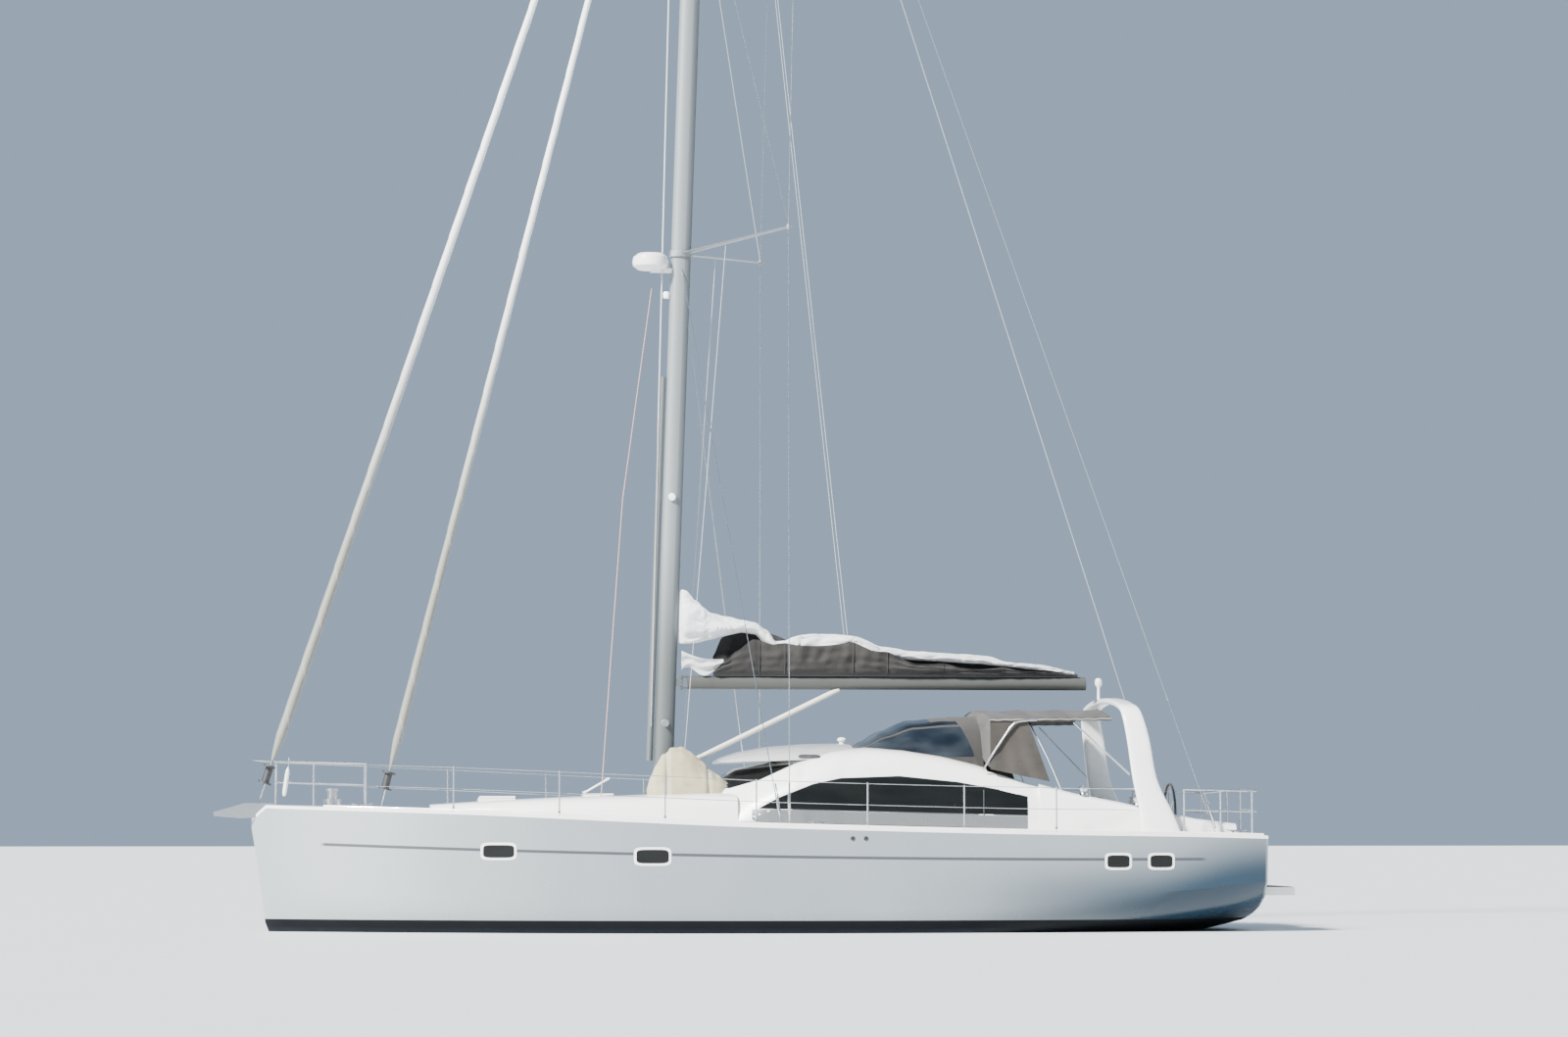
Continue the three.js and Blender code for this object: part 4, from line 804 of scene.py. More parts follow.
# %% Teak in the cockpit and on the platform
COCKPIT_TEAK = [  # x from and to, y from and to: footwell, benches, helm space, passage
    (-4.98, -3.20, 0.02, 0.49),
    (-5.0, -3.20, 0.56, 1.38),
    (-6.5, -5.12, 0.02, 1.40),
    (-7.18, -6.6, 0.02, 0.35),
]
planks = bmesh.new()
for x0, x1, inner, outer in COCKPIT_TEAK:
    for side in (1, -1):
        add(planks, panel(x0, x1, lambda x: inner, lambda x: outer, side, start=1.6))
finished(planks, "cockpit_teak", TEAK)
platform = block((-7.715, -1.21, 0.6405), (-7.265, 1.21, 0.649), 0.003, 1)
finished(platform, "platform_teak", TEAK, "bathing_platform")

# %% [markdown]
# ## Companionway
# Three treads and a sill lead below between two bent rails. On each side of the way in, a dark
# window lies in the bulkhead behind a moulded jamb.

# %% Companionway steps and rails
steps = [block((-3.13, -0.318, 1.577), (-3.05, 0.318, 1.597), 0.006, 2)]
for i, z in enumerate((0.83, 1.06, 1.29)):
    front = -2.42 - 0.17 * i
    steps.append(block((front - 0.24, -0.27, z - 0.035), (front, 0.27, z), 0.01, 2))
finished(together(steps), "companionway_steps", TEAK)
stringers = bmesh.new()
for side in (1, -1):
    y = side * 0.285
    tube([(-2.30, y, 0.605), (-2.78, y, 1.27), (-3.0, y, 1.56)], 0.016, 8, shape=stringers)
finished(stringers, "companionway_rails", STEEL)

# %% Windows and jambs beside the companionway
panes, jambs = [
    together(block((x0, side * y0, z0), (x1, side * y1, z1), bevel, 2) for side in (1, -1))
    for x0, x1, y0, y1, z0, z1, bevel in [
        (-3.128, -3.112, 0.34, 1.46, 1.69, 2.125, 0.004),
        (-3.152, -3.048, 0.318, 0.40, 1.60, 2.13, 0.006),
    ]
]
finished(panes, "aft_windows", GLASS)
finished(jambs, "companionway_jambs", GELCOAT)

# %% [markdown]
# ## The arch
# A moulded arch stands over the cockpit and carries an aerial. Its two legs sweep up and in from
# broad feet. The solid has straight stretches between a few stations, so here the same stations are
# joined by a smooth curve, and a rounded section is swept along it.


# %% A smooth curve through rows
def flowing(rows, share):
    """The smooth curve through the rows, at a share from 0 to 1 of its way."""
    spans = len(rows) - 1
    i = min(int(share * spans), spans - 1)
    s = share * spans - i
    four = [rows[min(max(i + k, 0), spans)] for k in (-1, 0, 1, 2)]
    return [
        q + 0.5 * s * (r - p + s * (2 * p - 5 * q + 4 * r - w + s * (3 * (q - r) + w - p)))
        for p, q, r, w in zip(*four)
    ]


def power(value, exponent):
    """A power that keeps the sign."""
    return math.copysign(abs(value) ** exponent, value)


# %% Arch
ARCH_SIDE = [  # y, z, x of the middle, length along the yacht, thickness
    (1.935, 1.40, -5.630, 0.600, 0.115), (1.930, 1.70, -5.565, 0.490, 0.110),
    (1.900, 2.20, -5.400, 0.360, 0.105), (1.840, 2.80, -5.310, 0.330, 0.100),
    (1.700, 3.18, -5.235, 0.290, 0.095), (1.350, 3.30, -5.200, 0.260, 0.090),
    (0.700, 3.37, -5.185, 0.250, 0.090), (0.000, 3.39, -5.180, 0.250, 0.090),
]
ARCH = ARCH_SIDE + [(-row[0], *row[1:]) for row in ARCH_SIDE[-2::-1]]
ROUND_SECTION = 0.62


def arch_point(u, v):
    y, z, x, length, thickness = flowing(ARCH, v)
    before, after = (flowing(ARCH, min(max(v + step, 0), 1)) for step in (-0.004, 0.004))
    along = Vector((0, after[0] - before[0], after[1] - before[1])).normalized()
    out = Vector((0, along.z, -along.y))
    angle = math.tau * u
    fore = power(math.cos(angle), ROUND_SECTION) * length / 2
    rise = power(math.sin(angle), ROUND_SECTION) * thickness / 2
    return Vector((x + fore, y, z)) + out * rise


arch = closed_sheet(36, 150, arch_point, seam=0.0003)
bmesh.ops.holes_fill(arch, edges=[edge for edge in arch.edges if edge.is_boundary])
arch = finished(arch, "smooth_arch", GELCOAT, angle=50)
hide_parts("arch")

# %% Aerial on the arch
AERIAL = [(0, 3.36), (0.045, 3.36), (0.045, 3.42), (0.022, 3.43), (0.020, 3.60), (0.030, 3.63),
          (0.052, 3.66), (0.055, 3.71), (0.042, 3.75), (0, 3.765)]
finished(turned(AERIAL, (-5.17, -0.62, 0.0)), "arch_aerial", GELCOAT)
print("arch ready")

# %% [markdown]
# ## Portlights in the hull
# Each portlight is a dark pane in a pale frame, set flush in the topsides. The pane is a sheet with
# rounded corners whose points are thrown onto the hull, and the frame is the same with a margin.

# %% Portlights
PORTLIGHTS = [  # x from and to, z from and to
    (3.74, 4.18, 1.09, 1.265), (1.55, 2.01, 1.01, 1.20), (-5.12, -4.79, 0.945, 1.115),
    (-5.76, -5.43, 0.945, 1.115),
]


def hull_pane(x0, x1, z0, z1, margin, stand, side):
    def place(u, v):
        across, up = 2 * u - 1, 2 * v - 1
        pull_x = math.sqrt(1 - 0.16 * up**6)
        pull_z = math.sqrt(1 - 0.30 * across**6)
        x = (x0 + x1) / 2 + across * pull_x * ((x1 - x0) / 2 + margin)
        z = (z0 + z1) / 2 + up * pull_z * ((z1 - z0) / 2 + margin)
        return on_flank(HULL, x, z, side, stand)

    shape = sheet(14, 10, place)
    bmesh.ops.solidify(shape, geom=shape.faces[:], thickness=0.006)
    return shape


PANES_AND_FRAMES = [  # name, finish, margin, how far it stands off the hull
    ("panes", GLASS, 0.0, 0.008), ("frames", GELCOAT, 0.035, 0.004),
]
for name, finish, margin, stand in PANES_AND_FRAMES:
    shapes = [hull_pane(*size, margin, stand, side) for size in PORTLIGHTS for side in (1, -1)]
    finished(together(shapes), "portlight_" + name, finish)
OUTLET = [(0.0, 0.004), (0.014, 0.004), (0.016, 0.012), (0.030, 0.010), (0.034, 0.0)]
OUTLET_HEIGHT = 1.36
outlets = bmesh.new()
for x in (-1.08, -1.27):
    for side in (1, -1):
        seat = on_flank(HULL, x, OUTLET_HEIGHT, side, 0)
        add(outlets, turned(OUTLET, seat, (0, side, 0.05)))
finished(outlets, "hull_outlets", PLASTIC)

# %% [markdown]
# ## Toe rail
# A low round rail runs along the deck's edge, with the stanchion feet just inside it.


# %% Toe rail
def sheer_point(x, side, inset):
    y = side * (row_at(SHEER, x)[0] - inset)
    return Vector((x, y, top(DECK, x, y)))


rails = bmesh.new()
for side in (1, -1):
    path = [sheer_point(-7.15 + 13.6 * i / 70, side, 0.035) for i in range(71)]
    tube([p + Vector((0, 0, 0.012)) for p in path], 0.018, 8, shape=rails)
finished(rails, "toe_rail", GELCOAT)

# %% [markdown]
# ## House trim
# The side windows sit in a white moulding. The wall under them lies in shade, and a grey band there
# is painted shade. A visor lies over the windshield, with a dark slot on each side, and a mushroom
# vent stands on it. Black gaskets run round the side windows, and a bar divides each one.

# %% Painted shade band under the side windows
BAND = [  # x, z of the lower edge, z of the upper edge
    (-3.72, 1.49, 1.680), (-1.8, 1.52, 1.729), (0.18, 1.58, 1.779), (0.35, 1.66, 1.775),
]
BAND_LENGTH = 4.0


def band(side):
    def place(u, v):
        x = BAND[0][0] + BAND_LENGTH * v
        low, high = row_at(BAND, x)
        return on_flank(HOUSE, x, low + (high - low) * u, side, 0.004)

    return sheet(4, 60, place)


finished(pair(band), "house_painted_shade_band", PAINTED_SHADE_GREY)


# %% Visor slots and roof vent
def slot_cover(side):
    def place(u, v):
        round_end = math.sqrt(max(0.0, 1 - abs(2 * v - 1) ** 5))
        z = 2.546 + 0.030 * (2 * u - 1) * round_end
        return on_flank(VISOR, -0.415 - 0.33 * v, z, side, 0.003)

    return sheet(6, 24, place)


finished(pair(slot_cover), "visor_slots", PLASTIC)
VENT = [(0, -0.03), (0.040, -0.03), (0.040, 0.02), (0.036, 0.035), (0.062, 0.046),
        (0.068, 0.065), (0.054, 0.088), (0.026, 0.099), (0, 0.101)]
VENT_X = -1.19
finished(turned(VENT, (VENT_X, 0.0, top(VISOR, VENT_X, 0.0))), "roof_vent", GELCOAT)

# %% Window gaskets and divisions
WINDOW_EDGE = [  # x, z
    (0.18, 1.79), (-0.11, 1.945), (-0.60, 2.14), (-1.0, 2.225), (-1.85, 2.255), (-2.7, 2.17),
    (-3.3, 2.06), (-3.72, 1.96), (-3.72, 1.69),
]
GASKET_STEP = 0.12
DIVISION_X = -3.08
gaskets = bmesh.new()
for side in (1, -1):
    path = []
    for (x0, z0), (x1, z1) in zip(WINDOW_EDGE, WINDOW_EDGE[1:] + WINDOW_EDGE[:1]):
        steps = max(2, int(math.hypot(x1 - x0, z1 - z0) / GASKET_STEP))
        for i in range(steps):
            x, z = x0 + (x1 - x0) * i / steps, z0 + (z1 - z0) * i / steps
            path.append(on_flank(HOUSE, x, z, side, 0.001))
    tube(path, 0.006, 6, closed=True, shape=gaskets)
    bar = [on_flank(HOUSE, DIVISION_X, z / 100, side, 0.002) for z in range(170, 208, 4)]
    tube(bar, 0.010, 6, shape=gaskets)
finished(gaskets, "window_gaskets", PLASTIC)
print("house details ready")

# %% Hatch panes
SALOON_HINGE = Vector((2.640, 0, 2.0184))
half_open = Matrix.Translation(SALOON_HINGE) @ Matrix.Rotation(math.radians(30), 4, "Y")
half_open = half_open @ Matrix.Translation(-SALOON_HINGE)
for name, x0, x1, seat, place in [
    ("saloon_hatch", 2.28, 2.60, 2.010, half_open),
    ("forward_hatch", 3.72, 4.12, 1.940, Matrix.Identity(4)),
]:
    pane = block((x0, -0.205, seat + 0.030), (x1, 0.205, seat + 0.036), 0.003, 2)
    bmesh.ops.transform(pane, matrix=place, verts=pane.verts[:])
    finished(pane, name + "_pane", GLASS, name)

# %% [markdown]
# ## Deck gear
# Winches, cleats, tracks and stanchion feet are all turned or swept from a few sizes.

# %% Winches
WINCH = [  # radius and height, for a drum of radius 1
    (0, 0), (1.0, 0), (1.0, 0.12), (0.84, 0.2), (0.66, 0.45), (0.64, 0.95), (0.80, 1.25),
    (0.92, 1.32), (0.92, 1.48), (0.70, 1.60), (0.30, 1.62), (0.28, 1.72), (0, 1.72),
]
winches = bmesh.new()
for x, size in ((-4.55, 0.085), (-5.35, 0.095)):
    for y in (1.575, -1.575):
        profile = [(r * size, h * size) for r, h in WINCH]
        add(winches, turned(profile, (x, y, top(COAMING, x, y) - 0.01)))
finished(winches, "winches", STEEL)

# %% Cleats and tracks
CLEAT_LEG = [(0, 0), (0.02, 0), (0.016, 0.05), (0, 0.05)]
CLEAT_ARMS = [  # along the yacht, up, radius
    (-0.15, 0.065, 0.008), (-0.08, 0.055, 0.013), (0, 0.052, 0.015), (0.08, 0.055, 0.013),
    (0.15, 0.065, 0.008),
]
TRACK_Y = 1.86
gear = bmesh.new()
for side in (1, -1):
    for x in (5.9, -0.6, -6.75):
        foot = sheer_point(x, side, 0.12)
        for apart in (-0.05, 0.05):
            add(gear, turned(CLEAT_LEG, foot + Vector((apart, 0, 0))))
        arms = [foot + Vector((along, 0, up)) for along, up, radius in CLEAT_ARMS]
        tube(arms, [row[2] for row in CLEAT_ARMS], 8, shape=gear)
    run = [(x / 10, side * TRACK_Y) for x in range(-30, 6)]
    tube([(x, y, top(DECK, x, y) + 0.012) for x, y in run], 0.014, 6, shape=gear)
finished(gear, "cleats_and_tracks", STEEL)

# %% Stanchion feet
FOOT = [(0, -0.004), (0.042, -0.004), (0.042, 0.006), (0.019, 0.012), (0.018, 0.07), (0, 0.07)]
STANCHIONS = (4.6, 3.1, 1.6, 0.3, -1.3, -2.7, -4.05)
feet = together(turned(FOOT, sheer_point(x, side, 0.06)) for x in STANCHIONS for side in (1, -1))
finished(feet, "stanchion_feet", STEEL)

# %% [markdown]
# ## Standing rigging details
# The wires are in the frame. Each ends at the deck in a turnbuckle, the thick bright body that sets
# its tension, and diagonals run from the spreader tips to the mast.

# %% Turnbuckles and diagonals
TURNBUCKLE = [(0, 0), (0.012, 0), (0.012, 0.10), (0.021, 0.12), (0.021, 0.40), (0.012, 0.43),
              (0.012, 0.56), (0, 0.56)]
WIRE_FEET = [  # where a wire's foot is, and a point further up it
    ((-0.18, 2.17, 1.60), (-0.18, 2.152, 2.8)), ((-0.06, 2.14, 1.60), (0.045, 1.97, 2.45)),
    ((-6.45, 1.83, 1.50), (-6.2, 1.75, 2.35)),
]
fittings = bmesh.new()
for side in (1, -1):
    for ends in WIRE_FEET:
        start, end = (Vector((x, side * y, z)) for x, y, z in ends)
        add(fittings, turned(TURNBUCKLE, start, (end - start).normalized(), 12))
    tube([(-0.18, side * 2.05, 10.19), (1.0, side * 0.09, 16.25)], 0.006, 6, shape=fittings)
    tube([(-0.33, side * 1.85, 16.56), (0.8, side * 0.08, 20.2)], 0.005, 6, shape=fittings)
finished(fittings, "turnbuckles_and_diagonals", STEEL)

# %% [markdown]
# ## Fittings on the mast
# The sail track, two halyard winches, the collar at the deck and the spreaders' end rollers are one
# piece in the mast's grey. Lamps stand at the heights where the photograph shows pale specks, and a
# whip aerial and a wind vane stand on the crane.


# %% Mast fittings
def mast_x(z):
    """The middle of the raked mast at a height."""
    return MAST_FOOT_X - MAST_RAKE * (z - MAST_FOOT_Z)


MAST_WINCH = [(0, 0), (0.06, 0), (0.06, 0.01), (0.042, 0.03), (0.04, 0.09), (0.052, 0.11),
              (0.05, 0.125), (0, 0.125)]
ROLLER = [(0, -0.04), (0.03, -0.035), (0.034, 0), (0.03, 0.035), (0, 0.04)]
MAST_WINCH_Z = 3.05
mast_gear = bmesh.new()
for side in (1, -1):
    track = [(mast_x(z) - 0.147, side * 0.012, z) for z in (2.35, 8, 14, 20.4)]
    tube(track, 0.007, 6, shape=mast_gear)
    seat = (mast_x(MAST_WINCH_Z), side * 0.08, MAST_WINCH_Z)
    add(mast_gear, turned(MAST_WINCH, seat, (0, side, 0)))
    for x, y, z in ((-0.18, 2.055, 10.19), (-0.33, 1.855, 16.56)):
        add(mast_gear, turned(ROLLER, (x, side * y, z)))
turns = [math.tau * i / 40 for i in range(40)]
collar = [(mast_x(2.03) + 0.160 * math.cos(t), 0.102 * math.sin(t), 2.045) for t in turns]
tube(collar, 0.024, 8, closed=True, shape=mast_gear)
finished(mast_gear, "mast_fittings", SPAR_GREY)

# %% Lamps and masthead instruments
STEAMING_LAMP = [(0, -0.05), (0.035, -0.05), (0.05, -0.04), (0.052, 0.03), (0.04, 0.05), (0, 0.055)]
DECK_LAMP = [(0, 0), (0.05, 0), (0.058, 0.03), (0.05, 0.06), (0, 0.07)]
MASTHEAD_LAMP = [(0, 0), (0.04, 0), (0.045, 0.05), (0.038, 0.09), (0, 0.1)]
lamps = together([
    turned(STEAMING_LAMP, (mast_x(9.42) + 0.195, 0, 9.42)),
    turned(DECK_LAMP, (mast_x(6.40) + 0.01, 0.08, 6.41), (0.1, 1, -0.3)),
    turned(DECK_LAMP, (mast_x(6.40) + 0.01, -0.08, 6.41), (0.1, -1, -0.3)),
    turned(MASTHEAD_LAMP, (0.80, 0, 20.88)),
])
finished(lamps, "mast_lamps", LENS)
whip = tube([(0.95, 0.04, z) for z in (20.9, 21.05, 21.42)], [0.009, 0.006, 0.003], 8)
tube([(0.60, -0.03, 20.9), (0.56, -0.03, 21.1), (0.56, -0.03, 21.2)], 0.006, 8, shape=whip)
tube([(0.72, -0.03, 21.2), (0.40, -0.03, 21.2)], [0.002, 0.007], 6, shape=whip)
finished(whip, "masthead_instruments", PLASTIC)

# %% [markdown]
# ## Helm, fender and anodes
# Each wheel's rim is covered in leather, and its pedestal carries a compass dome and a screen in a
# pod. A fender hangs by its lanyard from the pulpit's top rail. Under water, zinc anodes sit on the
# shaft and behind the propeller, and turn with them.

# %% Helm
WHEEL_X, WHEEL_Y, WHEEL_Z, RIM_RADIUS = -5.95, 0.93, 1.72, 0.434
COMPASS = [(0, 0), (0.075, 0), (0.078, 0.02), (0.072, 0.05), (0.05, 0.085), (0.02, 0.098),
           (0, 0.10)]
helm, pods = bmesh.new(), bmesh.new()
turns = [math.tau * i / 56 for i in range(56)]
for name, side in SIDES.items():
    y = side * WHEEL_Y
    rim = [
        (WHEEL_X, y + RIM_RADIUS * math.cos(t), WHEEL_Z + RIM_RADIUS * math.sin(t)) for t in turns
    ]
    cover = tube(rim, 0.0185, 12, closed=True)
    finished(cover, "wheel_leather_" + name, LEATHER, "wheel_" + name)
    add(helm, turned(COMPASS, (-5.80, y, 1.858)))
    add(helm, block((-5.752, y - 0.11, 1.885), (-5.748, y + 0.11, 1.965), 0.0015))
    add(pods, block((-5.747, y - 0.13, 1.845), (-5.70, y + 0.13, 1.98), 0.012))
finished(helm, "helm_instruments", PLASTIC)
finished(pods, "helm_pods", GELCOAT)

# %% Fender lashed at the pulpit
FENDER = [(0, 0), (0.012, 0.004), (0.026, 0.03), (0.031, 0.07), (0.031, 0.34), (0.026, 0.385),
          (0.012, 0.41), (0.006, 0.43), (0, 0.43)]
LANYARD = [(6.970, 0.455, 2.385), (6.966, 0.458, 2.44), (6.962, 0.490, 2.50),
           (6.962, 0.478, 2.522), (6.964, 0.458, 2.50), (6.966, 0.452, 2.44)]
fender = turned(FENDER, (7.03, 0.455, 1.965), (-0.14, 0, 1), 16)
finished(fender, "pulpit_fender", GELCOAT)
finished(tube(LANYARD, 0.004, 6), "fender_lanyard", ROPE)

# %% Anodes under water
SHAFT_HEAD, SHAFT_TAIL = Vector((-3.2, 0, -0.48)), Vector((-4.9, 0, -0.83))
COLLAR_ANODE = [(0.0195, -0.05), (0.032, -0.05), (0.044, -0.02), (0.044, 0.02), (0.032, 0.05),
                (0.0195, 0.05)]
CONE_ANODE = [(0, 0.09), (0.022, 0.075), (0.036, 0.04), (0.042, 0.0), (0, 0.0)]
down_shaft = (SHAFT_TAIL - SHAFT_HEAD).normalized()
anodes = together([
    turned(COLLAR_ANODE, SHAFT_HEAD.lerp(SHAFT_TAIL, 0.72), down_shaft),
    turned(CONE_ANODE, SHAFT_TAIL + down_shaft * 0.075, down_shaft),
])
finished(anodes, "shaft_anodes", ZINC, "propeller")
print("rig, helm and underwater details ready")

# %% [markdown]
# ## Running lines
# Halyards and lifts are set up tight, so each is a straight tube. Two lines hold the boom up from
# the masthead. They turn with the boom, about the mast.

# %% Lines
DECK_EYE = [(0, -0.01), (0.022, -0.01), (0.020, 0.012), (0.010, 0.026), (0, 0.028)]
EYE_X, EYE_Y = 1.21, 0.16


def straight(start, end, steps=12):
    start, end = Vector(start), Vector(end)
    return [start.lerp(end, i / steps) for i in range(steps + 1)]


white_lines, boom_lines = bmesh.new(), bmesh.new()
for side in (1, -1):
    masthead, boom_eye = (0.50, side * 0.10, 20.5), (-1.26, side * 0.21, 4.30)
    tube(straight(masthead, boom_eye), 0.003, 6, shape=boom_lines)
    eye = (EYE_X, side * EYE_Y, top(DECK, EYE_X, side * EYE_Y))
    tube(straight((0.62, side * 0.86, 10.12), eye), 0.004, 6, shape=white_lines)
    add(white_lines, turned(DECK_EYE, eye, sides=12))
finished(boom_lines, "boom_lifts", ROPE, "boom")
for y in (-0.05, 0.0, 0.05):
    tube([(1.651, y, 3.0), (1.27, y, 19.9)], 0.006, 6, shape=white_lines)
finished(white_lines, "white_lines", ROPE)
red = tube([(1.66, 0.10, 9.5), (2.10, 0.35, 6.34), (2.28, 0.5, 3.94), (2.42, 0.6, 1.97)], 0.007, 6)
finished(red, "red_halyard", RED_ROPE)

# %% [markdown]
# ## Furled headsails
# A furled headsail is a long tight roll, thicker low down, with its edge climbing in a spiral. The
# roll is a sheet wrapped on itself, and its seam is merged.

# %% Furled sails
FURLED = {  # the stay's foot and head, and the roll's radius low down and high up
    "outer": (Vector((7.42, 0, 1.85)), Vector((1.075, 0, 20.79)), 0.080, 0.045),
    "inner": (Vector((5.62, 0, 1.85)), Vector((0.985, 0, 20.30)), 0.072, 0.042),
}
FURL_TURNS = 26


def roll_maker(name, foot, head, low_radius, high_radius):
    lowest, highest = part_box(name + "_furled_sail")
    along = (head - foot).normalized()
    length = (highest.z - lowest.z) / along.z
    start = foot + along * ((lowest.z - foot.z) / along.z)
    aside = Vector((0, 1, 0))
    ahead = along.cross(aside)

    def place(u, v):
        radius = low_radius + (high_radius - low_radius) * v
        ends = min(v, 1 - v) * length
        radius *= min(1, 0.25 + ends * 1.6)
        radius -= 0.006 * ((u + v * FURL_TURNS) % 1)
        out = aside * math.cos(math.tau * u) + ahead * math.sin(math.tau * u)
        return start + along * (length * v) + out * (radius - 0.004)

    return place


for name, sizes in FURLED.items():
    roll = sheet(24, 420, roll_maker(name, *sizes))
    for face in roll.faces:
        for loop in face.loops:
            loop[roll.loops.layers.uv.active].uv.y *= FURL_TURNS
    merge(roll, 0.0004)
    piece = finished(roll, name + "_rolled_sail", ROLLED, name + "_furler", angle=60)
    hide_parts(name + "_furled_sail")

# %% [markdown]
# ## Sail pack on the boom
# The mainsail drops between lazy jacks into a canvas bag along the boom. The bag is an open trough
# whose inside is near-black cloth, painted shade for the shadow in the open bag: its near flap sags
# between the straps that hold it up, and the far flap stands a little higher. The sail lies in it
# in flakes, with a tall crumpled heap at the mast, where the slides stack up. Both are sheets bent
# by tables of sizes, with folds that grow out of noise.

# %% Canvas bag
BAG_AFT, BAG_LENGTH = -4.74, 5.46
BAG = [  # x, half width, underside, port edge, starboard edge
    (-4.74, 0.05, 3.757, 3.800, 3.840), (-4.20, 0.13, 3.757, 3.850, 3.940),
    (-3.20, 0.17, 3.757, 3.890, 4.010), (-2.30, 0.19, 3.757, 3.960, 4.080),
    (-1.80, 0.20, 3.757, 4.110, 4.140), (-1.30, 0.205, 3.757, 4.250, 4.210),
    (-0.50, 0.21, 3.757, 4.220, 4.240), (-0.10, 0.205, 3.757, 4.235, 4.420),
    (0.16, 0.20, 3.757, 4.290, 4.480), (0.40, 0.19, 3.757, 4.140, 4.440),
    (0.58, 0.17, 3.757, 3.990, 4.370), (0.72, 0.15, 3.757, 3.850, 4.080),
]
STRAPS = (0.05, -0.33, -1.35, -1.86, -2.7, -3.6)


def rough(point, scale, depth):
    return noise.noise(Vector(point) * scale) * depth


def bag_point(u, v):
    x = BAG_AFT + BAG_LENGTH * v
    half, low, port, starboard = row_at(BAG, x)
    high = port + (starboard - port) * u
    angle = math.pi * (u - 0.5)
    out, up = -power(math.sin(angle), 0.55), abs(2 * u - 1)
    near = min(abs(x - strap) for strap in STRAPS)
    tight = math.exp(-((near / 0.09) ** 2))
    sag = 0.035 * up**6 * (1 - math.exp(-((near / 0.25) ** 2)))
    z = low + (high - low) * up**1.7 - sag + 0.012 * tight * up**4
    folds = rough((x * 0.8, u * 5, 0), 2.2, 0.035) + rough((x * 2, u * 3, 4), 4.0, 0.018)
    creases = 0.008 * math.sin(x * 26 + 9 * rough((x, u, 2), 1.1, 1)) * (1 - tight) * up
    y = out * (half - 0.018 * tight) + (folds + creases) * math.copysign(min(1, up * 1.6), out)
    return Vector((x, y, z))


bag = sheet(60, 220, bag_point)
bmesh.ops.reverse_faces(bag, faces=bag.faces[:])
bag = fabric(bag, "sail_bag", [TAUPE, PAINTED_SHADE_LINING], "boom", BAG_LENGTH, 0.004, held="hung",
             rests_on=["boom"], stands_for="sail_pack", angle=60, tidy=False)
bag.modifiers["cloth"].material_offset = 1

# %% Flaked sail
FLAKES_AFT, FLAKES_LENGTH = -4.70, 5.938
FLAKES = [  # x, half width, underside, top
    (-4.70, 0.03, 3.80, 3.83), (-4.14, 0.07, 3.86, 3.94), (-3.70, 0.085, 3.90, 3.975),
    (-3.26, 0.10, 3.95, 4.07), (-2.23, 0.11, 4.00, 4.13), (-1.79, 0.12, 4.04, 4.19),
    (-1.35, 0.13, 4.08, 4.355), (-1.05, 0.14, 4.08, 4.385), (-0.61, 0.14, 4.06, 4.385),
    (-0.34, 0.14, 4.02, 4.28), (-0.20, 0.15, 4.06, 4.27), (-0.07, 0.155, 4.20, 4.43),
    (0.10, 0.17, 4.37, 4.55), (0.30, 0.18, 4.40, 4.59), (0.55, 0.17, 4.35, 4.63),
    (0.77, 0.15, 4.29, 4.70), (0.99, 0.12, 4.24, 4.88), (1.13, 0.095, 4.23, 5.0),
    (1.20, 0.07, 4.23, 5.01), (1.238, 0.035, 4.24, 4.96),
]


def flake_point(u, v):
    x = FLAKES_AFT + FLAKES_LENGTH * v
    half, low, high = row_at(FLAKES, x)
    angle = math.tau * u
    out, up = math.sin(angle), -math.cos(angle)
    z = (low + high) / 2 + (high - low) / 2 * power(up, 0.85)
    tall = min(1, (high - low) / 0.5)
    lie = z * (40 - 14 * tall) + x * 9 * tall
    lie += rough((x, 0, z), 1.4, 4.0) + rough((x, out, z), 3.1, 5.0)
    fold = math.sin(lie) * (0.016 + 0.012 * tall) * abs(out)
    crease = 1 - abs(rough((x * 1.3, out * 0.4, z * 1.1), 1.9, 2.0))
    crumple = rough((x, out, z), 2.6, 0.12) - 0.06 * max(0, crease) ** 6
    crumple += rough((x * 2, out * 2, z * 2), 2.4, 0.05)
    crumple = crumple * (0.45 + 0.55 * tall)
    ends = min(1, (1.238 - x) * 14 + 0.02, (x - FLAKES_AFT) * 6 + 0.02)
    y = (half * out + math.copysign(fold, out) + crumple * out * 0.6) * ends
    far = -0.05 * min(1, max(0, (-1.6 - x) / 0.6))
    return Vector((x, y + far, z + crumple * max(up, 0) * 0.35))


flakes = closed_sheet(72, 260, flake_point)
flakes = finished(flakes, "flaked_sail", SAIL, None, angle=70)
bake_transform(flakes)
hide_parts("sail_pack")


# %% Slack luff below the heap
def luff_point(u, v):
    """A tongue of sail that falls from the lowest slides to the boom."""
    x = 1.20 - 0.62 * v
    high = 4.12 - 0.12 * v - 0.05 * math.sin(math.pi * v)
    low = 3.84 - 0.06 * v + 0.05 * math.sin(9 * v)
    z = high + (low - high) * u
    fold = 0.045 * math.sin(u * 9 + 5 * v + rough((x, 0, z), 4, 3.0)) + rough((x, 0, z), 5, 0.06)
    return Vector((x, 0.05 + fold * (0.3 + 0.7 * v) * min(1, u * 4 + 0.2), z))


fabric(sheet(36, 48, luff_point), "slack_luff", SAIL, None, 0.62, held="gathered",
       rests_on=["boom", "flaked_sail"], joint=((1.24, 0, 4.1), (0.70, 0, 4.1)))

